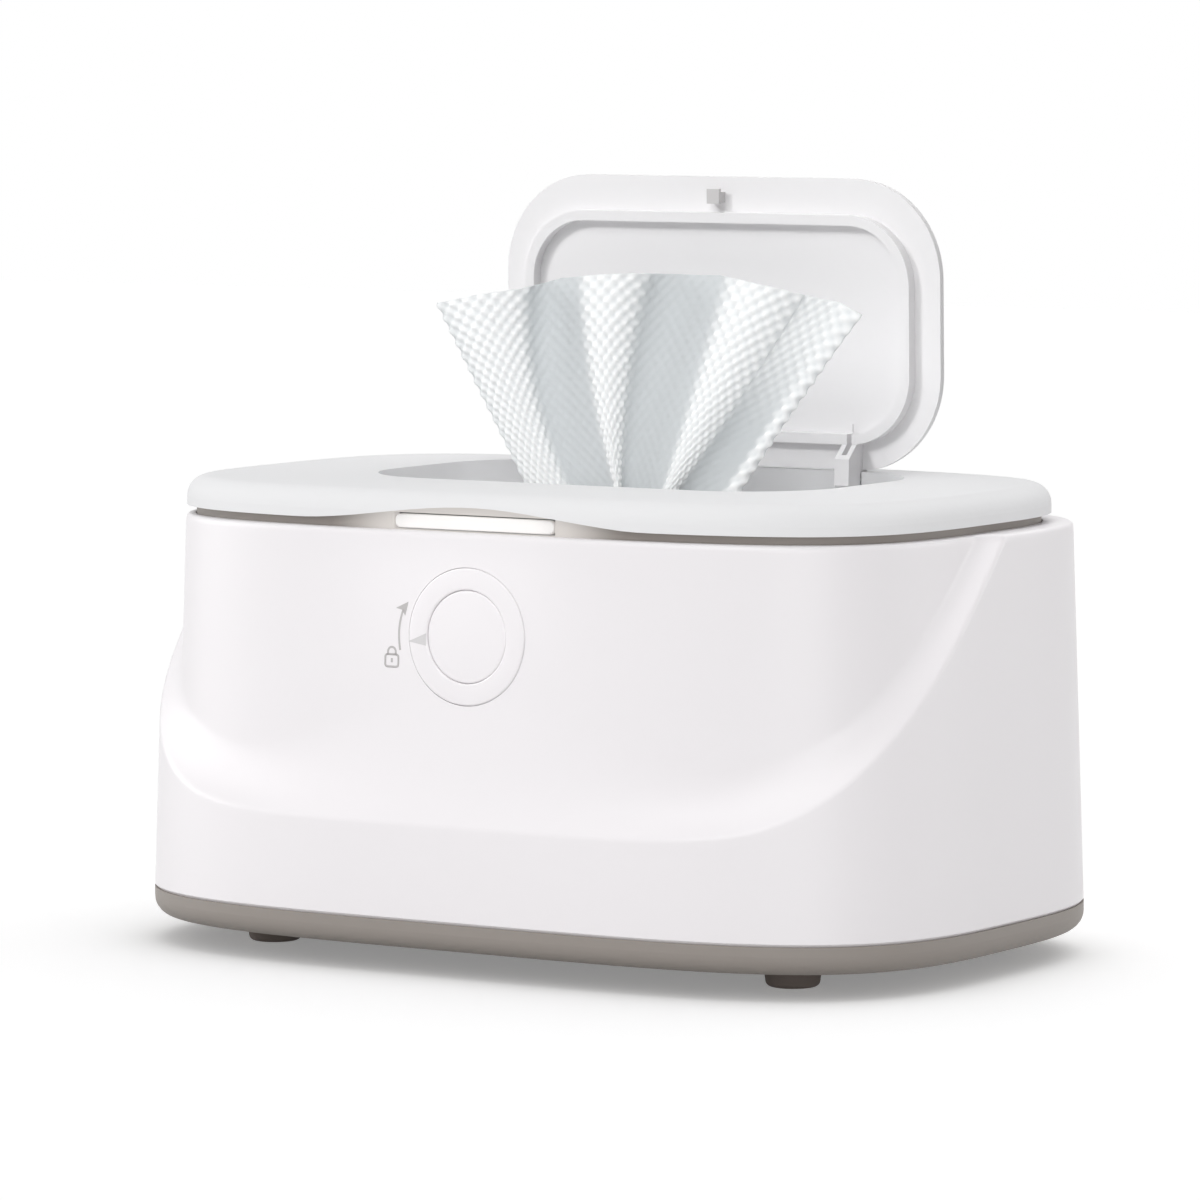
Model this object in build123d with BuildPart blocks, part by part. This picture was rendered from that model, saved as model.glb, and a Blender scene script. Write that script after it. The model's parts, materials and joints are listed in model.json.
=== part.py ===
"""Baby wipe warmer: heated tank with a hinged main lid, a pop-up flip lid and a lock dial.

Millimetres. The origin is on the table under the middle of the casing; +X runs to the right
along the long side, +Y to the back and +Z up. The main lid is closed, the flip lid stands open.
"""

import os
from math import atan, cos, degrees, pi, radians, sin

from build123d import *

# ---- driving dimensions: casing -----------------------------------------------------------
half_width = 110.0  # casing, centre to end, at its foot
half_depth = 72.5  # casing, centre to front, at its foot
width_power = 4.0  # roundness of the plan along X (2 would be an ellipse)
depth_power = 3.24  # roundness of the plan along Y
outline_points = 40  # points of the closed plan curve
lean = 0.0337  # how far the walls lean in per mm of height
foot_height = 5.8
tray_top_z = 12.6
rim_z = 103.3
casing_wall = 2.2
tray_wall = 2.2
tray_floor = 2.0
tray_edge_r = 4.5
thread_fit = 0.02  # radial gap of a screw in the bore it is screwed into
screw_end_gap = 0.5  # bore past the end of its screw

# ---- scoop in the front of the casing -----------------------------------------------------
scoop_depth = 5.0
scoop_high_y = -7.5
scoop_low_setback = 2.4  # front of the casing to the crease's low corner
scoop_low_z = 34.0
scoop_bend_r = 22.0
scoop_rise = 0.4  # crease above the rim at the back
scoop_inner_drop = 1.05  # inner crease below the outer one, per mm of shift

# ---- feet and casing screws ---------------------------------------------------------------
foot_setback_x = 37.3  # end of the casing to a foot's middle
foot_setback_y = 33.4
foot_r = 7.0
foot_tip_r = 6.2
foot_edge_r = 1.4
foot_seat = 1.0  # how deep a foot sits in the tray
foot_fit = 0.05
screw_setback_x = 40.0  # end of the casing to a screw
screw_setback_y = 15.5
screw_r = 1.5
screw_head_r = 2.8
screw_head_h = 2.4
screw_top_z = 24.0
screw_clearance = 0.2  # radial gap of a screw and of its head in the tray
pillar_r = 3.8
pillar_top_z = 30.0
pillar_web = 2.0
pillar_web_setback = 5.0  # web ends this far inside the foot of the casing

# ---- main lid ------------------------------------------------------------------------------
lid_setback = 0.2  # lid skirt behind the scooped panel
lid_gap = 2.0  # open band between casing rim and lid skirt
lid_height = 7.15
lid_wall = 2.0
lid_edge_r = 5.0
wave_half_width = 50.0  # wave in the skirt's lower edge, over the light bar
wave_height = 3.9
wave_steps = 4  # curve points on each side of the wave
pocket_margin_x = 47.55  # end of the casing to the pocket
pocket_margin_y = 35.35
pocket_y = 10.85
pocket_floor_z = 104.4
pocket_wall = 1.6

# ---- main lid hinge ------------------------------------------------------------------------
knuckle_r = 1.9
knuckle_gap = 0.3
knuckle_web = 1.6  # thickness of the web under a knuckle, in knuckle radii
hinge_setback = 5.9  # back of the casing to the hinge axis
hinge_group_x = 34.0
casing_knuckle = 12.0  # length of the middle knuckle
lid_knuckle = 6.0  # length of each outer knuckle
hinge_pin_r = 0.9
pin_fit = 0.03  # radial gap of a pin in the piece that holds it
pin_run = 0.06  # radial gap of a pin in the piece that turns on it

# ---- liner, seal and lid screws ------------------------------------------------------------
liner_thickness = 1.4
liner_gap = 0.3
liner_swing_gap = 0.35  # liner's back edge to the rim ring as the lid swings up
liner_lid_gap = 0.1  # liner under the skirt's lower edge
seal_overhang = 0.6
seal_gap = 0.3
lid_screw_r = 1.1
lid_screw_head_r = 2.2
lid_screw_head_h = 1.0
lid_boss_r = 2.6
lid_boss_cap = 1.0  # solid end of a boss, under the deck
lid_screw_clearance = 0.15
lid_screw_head_gap = 0.1
lid_screw_setback_x = 28.0  # end of the casing to the side screws
lid_screw_setback_y = 30.5  # front of the casing to the front screws
lid_screw_front_x = 40.0
lid_screw_side_y = -12.0
lid_screw_rear_y = 22.0
lid_screw_rear_shift = 2.0  # rear side screws nearer the middle

# ---- flip lid ------------------------------------------------------------------------------
flip_side_gap = 0.6  # flip lid to the pocket's side
flip_end_room = 3.3  # pocket longer than the flip lid
flip_r = 24.0
flip_thickness = 2.4
flip_lean_deg = 1.24  # how far the open lid leans forward of upright
flip_edge_gap = 0.45  # open lid above the main lid's deck
flip_edge_behind = 1.1  # open lid's front face behind the pocket's back wall
flip_pivot_behind = 0.9
flip_pivot_drop = 2.65  # pivot below the deck
rib_side_margin = 7.0  # side of the flip lid to the rib
rib_end_margin = 8.7  # free edge of the flip lid to the rib
rib_r = 17.0
rib_thickness = 2.5
rib_height = 3.0
rib_margin = 6.7  # hinge edge to rib
flip_edge_fillet = 0.9
arm_setback = 23.85  # side of the flip lid to an arm's middle
arm_width = 4.0
arm_reach = 6.7  # pivot to the arm's front face
arm_rise = 11.9  # pivot to the wedge's tip
arm_groove = 1.4
arm_root = 0.3  # arm sunk into the flip lid's underside
arm_tip_depth = 1.2
arm_slope = 0.2  # how far the arm's front leans back
arm_shoulder = 0.5  # where the wedge starts, as a share of its rise
arm_front_drop = 0.4
arm_heel = 0.6  # heel in front of the pivot, in hub radii
arm_back_gap = 0.2
arm_back_rise = 1.0
hub_r = 2.9
groove_start = 1.2  # arm's front face to the groove
groove_depth = 2.2  # under the wedge's front edge
well_gap = 0.4  # arm to its well in the pocket's floor
well_wall = 1.0
arm_slot_gap = 0.35
slot_back_gap = 0.5
flip_pin_r = 0.9
flip_pin_grip = 2.4  # pin held on each side of the slot
pin_end_wall = 0.6
coil_wire_r = 0.2
coil_turns = 2
coil_side_gap = 0.1
coil_pin_gap = 0.15
hook_width = 3.5
hook_height = 3.0
hook_inset = 5.0  # free edge of the flip lid to the hook's middle
hook_gap = 0.35
hook_stem = 2.6
hook_head = 3.6
hook_head_shift = 0.3
hook_head_thickness = 1.0
catch_thickness = 1.2
catch_length = 4.0
catch_height = 3.8

# ---- dispenser slot and wipes --------------------------------------------------------------
slot_shift = 0.15  # dispenser slot behind the pocket's middle
insert_length = 84.0
insert_width = 34.0
insert_flange = 1.2
insert_step = 3.0  # flange beyond the hole
insert_gap = 0.2
slit_length = 62.0
slit_width = 7.0
sheet_width = 56.0  # wipe where it passes the slit
sheet_thickness = 3.6
sheet_x = -2.0
sheet_top_width = 118.0
sheet_top_thickness = 14.0
sheet_top_z = 158.0
sheet_foot_width = 100.0
sheet_roundness = 0.4  # corner radius as a share of the thickness
stack_end_room = 8.9  # tank wall to the stack, at each end
stack_side_room = 12.4
stack_r = 14.0
stack_height = 50.0
soft_gap = 0.3

# ---- tank and heater -----------------------------------------------------------------------
tank_setback_x = 15.5  # end of the casing to the tank
tank_setback_y = 16.5
tank_y = 1.5
tank_wall = 1.6
tank_top_z = 101.6
tank_edge_r = 5.0
flange_z = 95.0
flange_thickness = 2.0
heater_end_margin = 19.5  # end of the tank to the heater
heater_side_margin = 20.0
pad_z = 20.0
pad_thickness = 3.5
film_thickness = 0.6
film_margin = 3.0
film_tab = 8.0
film_tab_reach = 4.0
plate_thickness = 1.6
plate_corner_r = 4.0
heater_post_r = 3.5
heater_post_inset_x = 15.0  # end of the heater to a post
heater_post_inset_y = 11.0
sensor_length = 8.0
sensor_width = 5.0
sensor_height = 3.2
sensor_corner_r = 1.0
sensor_x = 30.0
fuse_r = 1.6
fuse_length = 10.0
fuse_x = -30.0
part_pocket_gap = 0.5

# ---- rim ring and light --------------------------------------------------------------------
ring_gap = 0.32  # lid skirt to rim ring
ring_thickness = 2.2
ring_top_gap = 0.55  # rim ring under the lid's deck
cam_notch_half = 14.0
cam_notch_z = 101.5
light_length = 44.0
light_height = 3.3
light_z = 105.35
light_thickness = 1.4
light_proud = 0.3
light_fit = 0.3
light_roundness = 0.45  # corner radius as a share of the height
light_edge_r = 0.4
led_length = 3.0
led_height = 1.6
led_thickness = 0.6
led_pitch = 14.0
strip_length = 40.0
strip_height = 3.2
strip_thickness = 0.8

# ---- dial and button -----------------------------------------------------------------------
dial_z = 79.25
dial_r = 16.05
dial_gap = 0.25
dial_proud = 0.3
dial_recess = 2.0
dial_back_gap = 0.15
dial_hub_r = 13.0
dial_pad_r = 19.5
dial_pad = 2.2
cap_bore_r = 11.0
cap_r = 10.75
cap_lip_r = 11.5
lip_bore_r = 11.8
lip_bore_depth = 2.8
cap_dome = 0.2
dial_edge_r = 0.25  # rounded front edges of dial and button
cap_thickness = 1.4
cap_skirt = 1.2
cap_depth = 3.5
cap_lip = 0.5
stem_r = 1.8
stem_depth = 4.45
pointer_deg = 186.0
pointer_base = 3.1
pointer_tip_gap = 0.2
pointer_base_gap = 0.3
pointer_height = 0.2
cam_depth = 4.6
cam_thickness = 1.4
cam_r = 15.5
cam_eye_r = 6.5
cam_arm_r = 19.5
cam_arm_width = 5.0
cam_tip_r = 2.2
peg_r = 1.4
peg_length = 2.2
spring_r = 8.2
spring_wire_r = 0.3
spring_turns = 3
spring_gap = 0.05
hook_tongue_thickness = 1.5
hook_tongue_gap = 0.3  # cam to lock hook
hook_side_gap = 0.6  # peg to lock hook when unlocked
hook_peg_gap = 0.45  # peg to the hook's slot when locked
hook_throat = 4.6
hook_throat_spare = 0.3  # throat wider than the peg needs, above and below
hook_foot_depth = 2.7
hook_back = 5.4
hook_lip = 1.8
hook_foot = 1.0

# ---- switch behind the button --------------------------------------------------------------
switch_size = 6.0
switch_top = 5.5
switch_plunger_r = 1.5
switch_plunger = 0.5
switch_height = 1.5
switch_board_length = 16.0
switch_board_width = 10.0
switch_board_thickness = 1.0
bridge_length = 56.0
bridge_width = 12.0
bridge_thickness = 1.4
bridge_boss_x = 24.5
bridge_boss_r = 3.0
bridge_screw_r = 1.0
bridge_screw_head_r = 2.0
bridge_screw_grip = 4.0
bridge_screw_clearance = 0.15
bridge_screw_head_gap = 0.1

# ---- control board and inlet ---------------------------------------------------------------
board_length = 60.0
board_width = 24.0
board_thickness = 1.6
board_wall_gap = 1.3  # control board to the back wall
board_z = 13.0
board_post_r = 2.6
board_hole_inset = 3.5
board_screw_r = 1.1
board_screw_head_r = 2.2
board_screw_head_h = 1.4
board_screw_grip = 5.0
board_screw_clearance = 0.2
inlet_x = 18.0
inlet_width = 9.0
inlet_height = 10.0
inlet_length = 12.0
inlet_nose_r = 4.0
inlet_bore_r = 2.75
inlet_bore_depth = 9.0
inlet_pin_r = 1.0
inlet_gap = 0.2
inlet_setback = 0.5
inlet_pin_setback = 1.0
connector_x = -18.0
connector_size = (8.0, 5.0, 5.0)
connector_inset = 1.0
chip_size = (11.0, 9.0, 1.8)
capacitor_r = 3.6
capacitor_height = 7.0
capacitor_offset_y = 4.0
lead_r = 0.55
lead_pitch = 3.0
lead_drop = 2.4  # lead axis above the board
lead_bend_share = 0.45  # bend radius as a share of the shorter run
vent_length = 22.0
vent_width = 2.0
vent_pitch_x = 34.0
vent_pitch_y = 9.0

# ---- places worked out from the sizes above ------------------------------------------------
lid_bottom_z = rim_z + lid_gap
lid_top_z = lid_bottom_z + lid_height
deck_under_z = lid_top_z - lid_wall
rim_lean = lean * (rim_z - tray_top_z)
foot_x = half_width - foot_setback_x
foot_y = half_depth - foot_setback_y
screw_x = half_width - screw_setback_x
screw_y = half_depth - screw_setback_y
lid_inset = scoop_depth + rim_lean + lid_setback
ring_inset = lid_inset + lid_wall + ring_gap
ring_top_z = deck_under_z - ring_top_gap
hinge_y = half_depth - hinge_setback
hinge_z = rim_z + knuckle_gap + knuckle_r
ring_reach = ring_inset + ring_thickness - hinge_setback  # hinge axis to the ring's inner face
liner_reach = (ring_reach**2 + (ring_top_z - hinge_z) ** 2) ** 0.5 + liner_swing_gap
liner_inset = hinge_setback + liner_reach
liner_top_z = lid_bottom_z - liner_lid_gap
liner_z = liner_top_z - liner_thickness
tub_under_z = pocket_floor_z - pocket_wall
seal_z = tank_top_z + seal_gap
tank_half_width = half_width - tank_setback_x
tank_half_depth = half_depth - tank_setback_y
stack_length = 2 * (tank_half_width - tank_wall - stack_end_room)
stack_width = 2 * (tank_half_depth - tank_wall - stack_side_room)
heater_length = 2 * (tank_half_width - heater_end_margin)
heater_width = 2 * (tank_half_depth - heater_side_margin)
heater_post_x = heater_length / 2 - heater_post_inset_x
heater_post_y = heater_width / 2 - heater_post_inset_y
film_z = pad_z + pad_thickness
plate_z = film_z + film_thickness
tank_z = plate_z + plate_thickness
tank_floor_z = tank_z + tank_wall
tray_floor_z = foot_height + tray_floor
pocket_width = 2 * (half_width - pocket_margin_x)
pocket_depth = 2 * (half_depth - pocket_margin_y)
pocket_back_y = pocket_y + pocket_depth / 2
pocket_r = flip_r + flip_side_gap
flip_width = pocket_width - 2 * flip_side_gap
flip_length = pocket_depth - flip_end_room
flip_edge_y = pocket_back_y + flip_edge_behind
flip_pivot_y = pocket_back_y + flip_pivot_behind
rib_width = flip_width - 2 * rib_side_margin
rib_length = flip_length - rib_margin - rib_end_margin
arm_x = flip_width / 2 - arm_setback
slot_y = pocket_y + slot_shift
lid_screw_places = []
for side in (-1, 1):
    lid_screw_places.append((side * (half_width - lid_screw_setback_x), lid_screw_side_y))
    lid_screw_x = half_width - lid_screw_setback_x - lid_screw_rear_shift
    lid_screw_places.append((side * lid_screw_x, lid_screw_rear_y))
    lid_screw_places.append((side * lid_screw_front_x, lid_screw_setback_y - half_depth))
flip_pivot_z = lid_top_z - flip_pivot_drop
slot_back_y = flip_pivot_y + hub_r + slot_back_gap
arm_front_y = flip_pivot_y - arm_reach
arm_swing_r = (arm_reach**2 + (arm_shoulder * arm_rise) ** 2) ** 0.5
arm_dip_r = (arm_reach**2 + arm_front_drop**2) ** 0.5
well_floor_z = flip_pivot_z - arm_dip_r - well_gap
well_depth = pocket_floor_z - well_floor_z
well_run = (arm_swing_r**2 - (flip_pivot_z - pocket_floor_z) ** 2) ** 0.5
well_front_y = flip_pivot_y - well_run - well_gap
block_back_y = slot_back_y + pocket_wall
stack_z = tank_floor_z + soft_gap
stack_top_z = stack_z + stack_height
ring_front_y = ring_inset - half_depth
board_top_z = board_z + board_thickness
board_y = half_depth - tray_wall - board_wall_gap - board_width / 2
board_holes = (board_length / 2 - board_hole_inset, board_width / 2 - board_hole_inset)
inlet_z = board_top_z + inlet_height / 2
web_end_y = half_depth - pillar_web_setback
screw_head_top_z = foot_height + tray_floor + screw_head_h / 2
panel_y = scoop_depth + lean * (dial_z - tray_top_z) - half_depth
lean_deg = degrees(atan(lean))
dial_plane = Plane(
    origin=(0, panel_y, dial_z),
    x_dir=(1, 0, 0),
    z_dir=(0, -cos(radians(lean_deg)), sin(radians(lean_deg))),
)
flip_plane = Plane(
    origin=(0, flip_edge_y, lid_top_z),
    x_dir=(1, 0, 0),
    z_dir=(0, -cos(radians(flip_lean_deg)), -sin(radians(flip_lean_deg))),
)
bridge_depth = switch_top + switch_plunger + switch_height + switch_board_thickness
hinge_start = Plane.YZ.offset(-half_width)
hinge_centre = (hinge_y, hinge_z)

os.makedirs("parts", exist_ok=True)


def save(builder, name):
    """Label a finished piece and write its STEP file."""
    builder.part.label = name
    export_step(builder.part, f"parts/{name}.step")


def outline_point(step, half_x, half_y, inset):
    """Point of a superellipse |x/a|^p + |y/b|^q = 1, moved inwards along its normal."""
    angle = 2 * pi * step / outline_points
    c, s = round(cos(angle), 9), round(sin(angle), 9)
    sign_x, sign_y = (c > 0) - (c < 0), (s > 0) - (s < 0)
    share_x, share_y = abs(c) ** (2 / width_power), abs(s) ** (2 / depth_power)
    normal_x = sign_x * width_power / half_x * share_x ** (width_power - 1)
    normal_y = sign_y * depth_power / half_y * share_y ** (depth_power - 1)
    length = (normal_x**2 + normal_y**2) ** 0.5
    x = sign_x * half_x * share_x - inset * normal_x / length
    y = sign_y * half_y * share_y - inset * normal_y / length
    return x, y


def oblong(height, inset, half_x=half_width, half_y=half_depth, centre_y=0.0):
    """Sketch of the casing's rounded oblong plan at a height, moved inwards by inset."""
    with BuildSketch(Plane.XY.offset(height)) as sketch:
        with BuildLine():
            points = [outline_point(i, half_x, half_y, inset) for i in range(outline_points)]
            Spline(*[(x, y + centre_y) for x, y in points], periodic=True)
        make_face()
    return sketch.sketch


def oblong_solid(low_z, high_z, inset):
    """Upright solid with the casing's plan."""
    with BuildPart() as form:
        extrude(oblong(low_z, inset), amount=high_z - low_z)
    return form.part


def tank_solid(low_z, high_z, inset):
    """Upright solid with the tank's plan."""
    plan = oblong(low_z, inset, tank_half_width, tank_half_depth, tank_y)
    with BuildPart() as form:
        extrude(plan, amount=high_z - low_z)
    return form.part


def leaning_solid(low_z, high_z, inset):
    """Solid whose walls lean in as the casing's do, all moved inwards by inset."""
    plans = [oblong(z, inset + lean * (z - tray_top_z)) for z in (low_z, high_z)]
    with BuildPart() as form:
        loft(plans, ruled=True)
    return form.part


def scoop_cutter(shift):
    """Everything in front of and above the scoop's crease, seen from the side."""
    high_z = rim_z + scoop_rise - scoop_inner_drop * shift
    low_z = scoop_low_z - scoop_inner_drop * shift
    crease = [
        (half_depth / 2, high_z),
        (scoop_high_y + shift / 2, high_z),
        (scoop_low_setback - half_depth + shift / 2, low_z),
        (-2 * half_depth, low_z),
    ]
    with BuildPart() as cutter:
        with BuildSketch(Plane.YZ):
            with BuildLine():
                FilletPolyline(*crease, radius=scoop_bend_r)
                Polyline(crease[-1], (-2 * half_depth, 2 * rim_z), (half_depth / 2, 2 * rim_z), crease[0])
            make_face()
        extrude(amount=2 * half_width, both=True)
    return cutter.part


def place_at_corners(x, y):
    """Four places, mirrored about both middle planes."""
    return GridLocations(2 * x, 2 * y, 2, 2)


def disc(plane, radius, amount, centre=(0, 0), mode=Mode.ADD):
    """Cylinder standing on a plane."""
    with BuildSketch(plane) as circle:
        with Locations(centre):
            Circle(radius)
    extrude(circle.sketch, amount=amount, mode=mode)


# ---- outer housing -------------------------------------------------------------------------
with BuildPart() as housing_cavity:
    add(leaning_solid(tray_top_z, rim_z - casing_wall, casing_wall))
    add(scoop_cutter(casing_wall), mode=Mode.SUBTRACT)
    add(leaning_solid(tray_top_z, rim_z, scoop_depth + casing_wall))

with BuildPart() as outer_housing:
    add(leaning_solid(tray_top_z, rim_z, 0))
    add(scoop_cutter(0), mode=Mode.SUBTRACT)
    add(leaning_solid(tray_top_z, rim_z, scoop_depth))
    add(housing_cavity.part, mode=Mode.SUBTRACT)
    # screw pillars, each joined to the wall by a web
    with BuildSketch(Plane.XY.offset(tray_top_z)):
        with place_at_corners(screw_x, screw_y):
            Circle(pillar_r)
    extrude(amount=pillar_top_z - tray_top_z)
    with BuildSketch(Plane.XY.offset(tray_top_z)):
        with place_at_corners(screw_x, (screw_y + web_end_y) / 2):
            Rectangle(pillar_web, web_end_y - screw_y)
    extrude(amount=pillar_top_z - tray_top_z)
    with BuildSketch(Plane.XY.offset(tray_top_z)):
        with place_at_corners(screw_x, screw_y):
            Circle(screw_r + thread_fit)
    extrude(amount=screw_top_z + 2 * screw_end_gap - tray_top_z, mode=Mode.SUBTRACT)
    # seat of the dial: a pad behind the panel, a recess in front and the bore between
    disc(dial_plane.offset(-casing_wall / 2), dial_pad_r, -(casing_wall / 2 + dial_pad))
    disc(dial_plane.offset(2), dial_r + dial_gap, -(2 + dial_recess), mode=Mode.SUBTRACT)
    disc(dial_plane, dial_hub_r + dial_gap, -2 * dial_pad_r, mode=Mode.SUBTRACT)
    # bosses for the switch bridge
    for side in (-1, 1):
        boss = (side * bridge_boss_x, 0)
        disc(dial_plane.offset(-casing_wall / 2), bridge_boss_r, casing_wall / 2 - bridge_depth, boss)
        disc(
            dial_plane.offset(-bridge_depth),
            bridge_screw_r + thread_fit,
            bridge_screw_grip,
            boss,
            Mode.SUBTRACT,
        )
    # hole for the inlet's nose
    with BuildSketch(Plane.XZ.offset(-half_depth - 1)):
        with Locations((inlet_x, inlet_z)):
            Circle(inlet_nose_r + inlet_gap)
    extrude(amount=2 * casing_wall + 2, mode=Mode.SUBTRACT)
    # middle knuckles of the lid hinge, on the back ledge
    for side in (-1, 1):
        start = side * hinge_group_x - casing_knuckle / 2
        disc(Plane.YZ.offset(start), knuckle_r, casing_knuckle, hinge_centre)
        with BuildSketch(Plane.YZ.offset(start)):
            with Locations((hinge_y, (rim_z - casing_wall / 2 + hinge_z) / 2)):
                Rectangle(knuckle_web * knuckle_r, hinge_z - rim_z + casing_wall / 2)
        extrude(amount=casing_knuckle)
    disc(hinge_start, hinge_pin_r + pin_run, 2 * half_width, hinge_centre, Mode.SUBTRACT)
save(outer_housing, "outer_housing")

# ---- base tray, feet and screws --------------------------------------------------------------
with BuildPart() as base_tray:
    add(oblong_solid(foot_height, tray_top_z, 0))
    fillet(base_tray.edges().group_by(Axis.Z)[0], tray_edge_r)
    add(oblong_solid(tray_floor_z, tray_top_z, tray_wall), mode=Mode.SUBTRACT)
    with BuildSketch(Plane.XY.offset(tray_floor_z)):
        with place_at_corners(screw_x, screw_y):
            Circle(pillar_r)
    extrude(amount=tray_top_z - tray_floor_z)
    with BuildSketch(Plane.XY.offset(foot_height)):
        with place_at_corners(screw_x, screw_y):
            Circle(screw_r + screw_clearance)
    extrude(amount=tray_top_z - foot_height, mode=Mode.SUBTRACT)
    with BuildSketch(Plane.XY.offset(foot_height)):
        with place_at_corners(screw_x, screw_y):
            Circle(screw_head_r + screw_clearance)
    extrude(amount=screw_head_top_z - foot_height, mode=Mode.SUBTRACT)
    with BuildSketch(Plane.XY.offset(foot_height)):
        with place_at_corners(foot_x, foot_y):
            Circle(foot_r + foot_fit)
    extrude(amount=foot_seat, mode=Mode.SUBTRACT)
    # posts under the heater and under the control board
    with BuildSketch(Plane.XY.offset(tray_floor_z)):
        with GridLocations(heater_post_x, 2 * heater_post_y, 3, 2):
            Circle(heater_post_r)
    extrude(amount=pad_z - tray_floor_z)
    with BuildSketch(Plane.XY.offset(tray_floor_z)):
        with Locations((0, board_y)):
            with place_at_corners(*board_holes):
                Circle(board_post_r)
    extrude(amount=board_z - tray_floor_z)
    with BuildSketch(Plane.XY.offset(board_z)):
        with Locations((0, board_y)):
            with place_at_corners(*board_holes):
                Circle(board_screw_r + thread_fit)
    extrude(amount=-board_screw_grip - screw_end_gap, mode=Mode.SUBTRACT)
    # air slots in the floor
    with BuildSketch(Plane.XY.offset(foot_height)):
        with GridLocations(vent_pitch_x, vent_pitch_y, 3, 4):
            SlotOverall(vent_length, vent_width)
    extrude(amount=tray_floor, mode=Mode.SUBTRACT)
save(base_tray, "base_tray")

with BuildPart() as rubber_feet:
    with place_at_corners(foot_x, foot_y):
        Cone(foot_tip_r, foot_r, foot_height, align=(Align.CENTER, Align.CENTER, Align.MIN))
    fillet(rubber_feet.edges().group_by(Axis.Z)[0], foot_edge_r)
    with BuildSketch(Plane.XY.offset(foot_height)):
        with place_at_corners(foot_x, foot_y):
            Circle(foot_r)
    extrude(amount=foot_seat)
save(rubber_feet, "rubber_feet")

with BuildPart() as base_screws:
    with BuildSketch(Plane.XY.offset(screw_head_top_z)):
        with place_at_corners(screw_x, screw_y):
            Circle(screw_head_r)
    extrude(amount=-screw_head_h)
    with BuildSketch(Plane.XY.offset(screw_head_top_z)):
        with place_at_corners(screw_x, screw_y):
            Circle(screw_r)
    extrude(amount=screw_top_z - screw_head_top_z)
save(base_screws, "base_screws")

# ---- tank and the wipes in it ----------------------------------------------------------------
with BuildPart() as wipe_tank:
    add(tank_solid(tank_z, tank_top_z, 0))
    fillet(wipe_tank.edges().group_by(Axis.Z)[0], tank_edge_r)
    add(oblong_solid(flange_z, flange_z + flange_thickness, ring_inset))
    add(tank_solid(tank_floor_z, tank_top_z, tank_wall), mode=Mode.SUBTRACT)
    # notch that lets the cam's arm and the lock hook through the flange
    with BuildSketch(Plane.XY.offset(flange_z)):
        with Locations((0, tank_y - tank_half_depth - half_depth / 2)):
            Rectangle(2 * cam_notch_half, half_depth)
    extrude(amount=flange_thickness, mode=Mode.SUBTRACT)
save(wipe_tank, "wipe_tank")

with BuildPart() as wipe_stack:
    with BuildSketch(Plane.XY.offset(stack_z)):
        with Locations((0, tank_y)):
            RectangleRounded(stack_length, stack_width, stack_r)
    extrude(amount=stack_height)
save(wipe_stack, "wipe_stack")

with BuildPart() as wipe_sheet:
    widths = (sheet_foot_width, sheet_width, sheet_width, sheet_top_width)
    depths = (sheet_thickness, sheet_thickness, sheet_thickness, sheet_top_thickness)
    levels = (stack_top_z + soft_gap, tub_under_z, pocket_floor_z + insert_flange, sheet_top_z)
    plans = []
    for sheet_w, sheet_d, sheet_level in zip(widths, depths, levels):
        with BuildSketch(Plane.XY.offset(sheet_level)) as sheet_plan:
            with Locations((sheet_x, slot_y)):
                RectangleRounded(sheet_w, sheet_d, sheet_roundness * sheet_d)
        plans.append(sheet_plan.sketch)
    loft(plans, ruled=True)
save(wipe_sheet, "wipe_sheet")

# ---- heater under the tank -------------------------------------------------------------------
with BuildPart() as insulation_pad:
    with BuildSketch(Plane.XY.offset(pad_z)):
        Rectangle(heater_length, heater_width)
        with Locations((sensor_x, 0)):
            Rectangle(
                sensor_length + 2 * part_pocket_gap,
                sensor_width + 2 * part_pocket_gap,
                mode=Mode.SUBTRACT,
            )
        with Locations((fuse_x, 0)):
            Rectangle(fuse_length + 2 * part_pocket_gap, 2 * fuse_r + 2 * part_pocket_gap, mode=Mode.SUBTRACT)
    extrude(amount=pad_thickness)
save(insulation_pad, "insulation_pad")

with BuildPart() as heating_film:
    with BuildSketch(Plane.XY.offset(film_z)):
        Rectangle(heater_length - 2 * film_margin, heater_width - 2 * film_margin)
        with Locations((connector_x, heater_width / 2)):
            Rectangle(film_tab, 2 * film_tab_reach)
    extrude(amount=film_thickness)
save(heating_film, "heating_film")

with BuildPart() as heater_plate:
    with BuildSketch(Plane.XY.offset(plate_z)):
        RectangleRounded(heater_length, heater_width, plate_corner_r)
    extrude(amount=plate_thickness)
save(heater_plate, "heater_plate")

with BuildPart() as temperature_sensor:
    with BuildSketch(Plane.XY.offset(film_z)):
        with Locations((sensor_x, 0)):
            RectangleRounded(sensor_length, sensor_width, sensor_corner_r)
    extrude(amount=-sensor_height)
save(temperature_sensor, "temperature_sensor")

with BuildPart() as thermal_fuse:
    fuse_start = Plane.YZ.offset(fuse_x - fuse_length / 2)
    disc(fuse_start, fuse_r, fuse_length, (0, film_z - fuse_r))
save(thermal_fuse, "thermal_fuse")

# ---- control board and inlet -----------------------------------------------------------------
with BuildPart() as control_board:
    with BuildSketch(Plane.XY.offset(board_z)):
        with Locations((0, board_y)):
            Rectangle(board_length, board_width)
            with place_at_corners(*board_holes):
                Circle(board_screw_r + board_screw_clearance, mode=Mode.SUBTRACT)
    extrude(amount=board_thickness)
save(control_board, "control_board")

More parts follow.
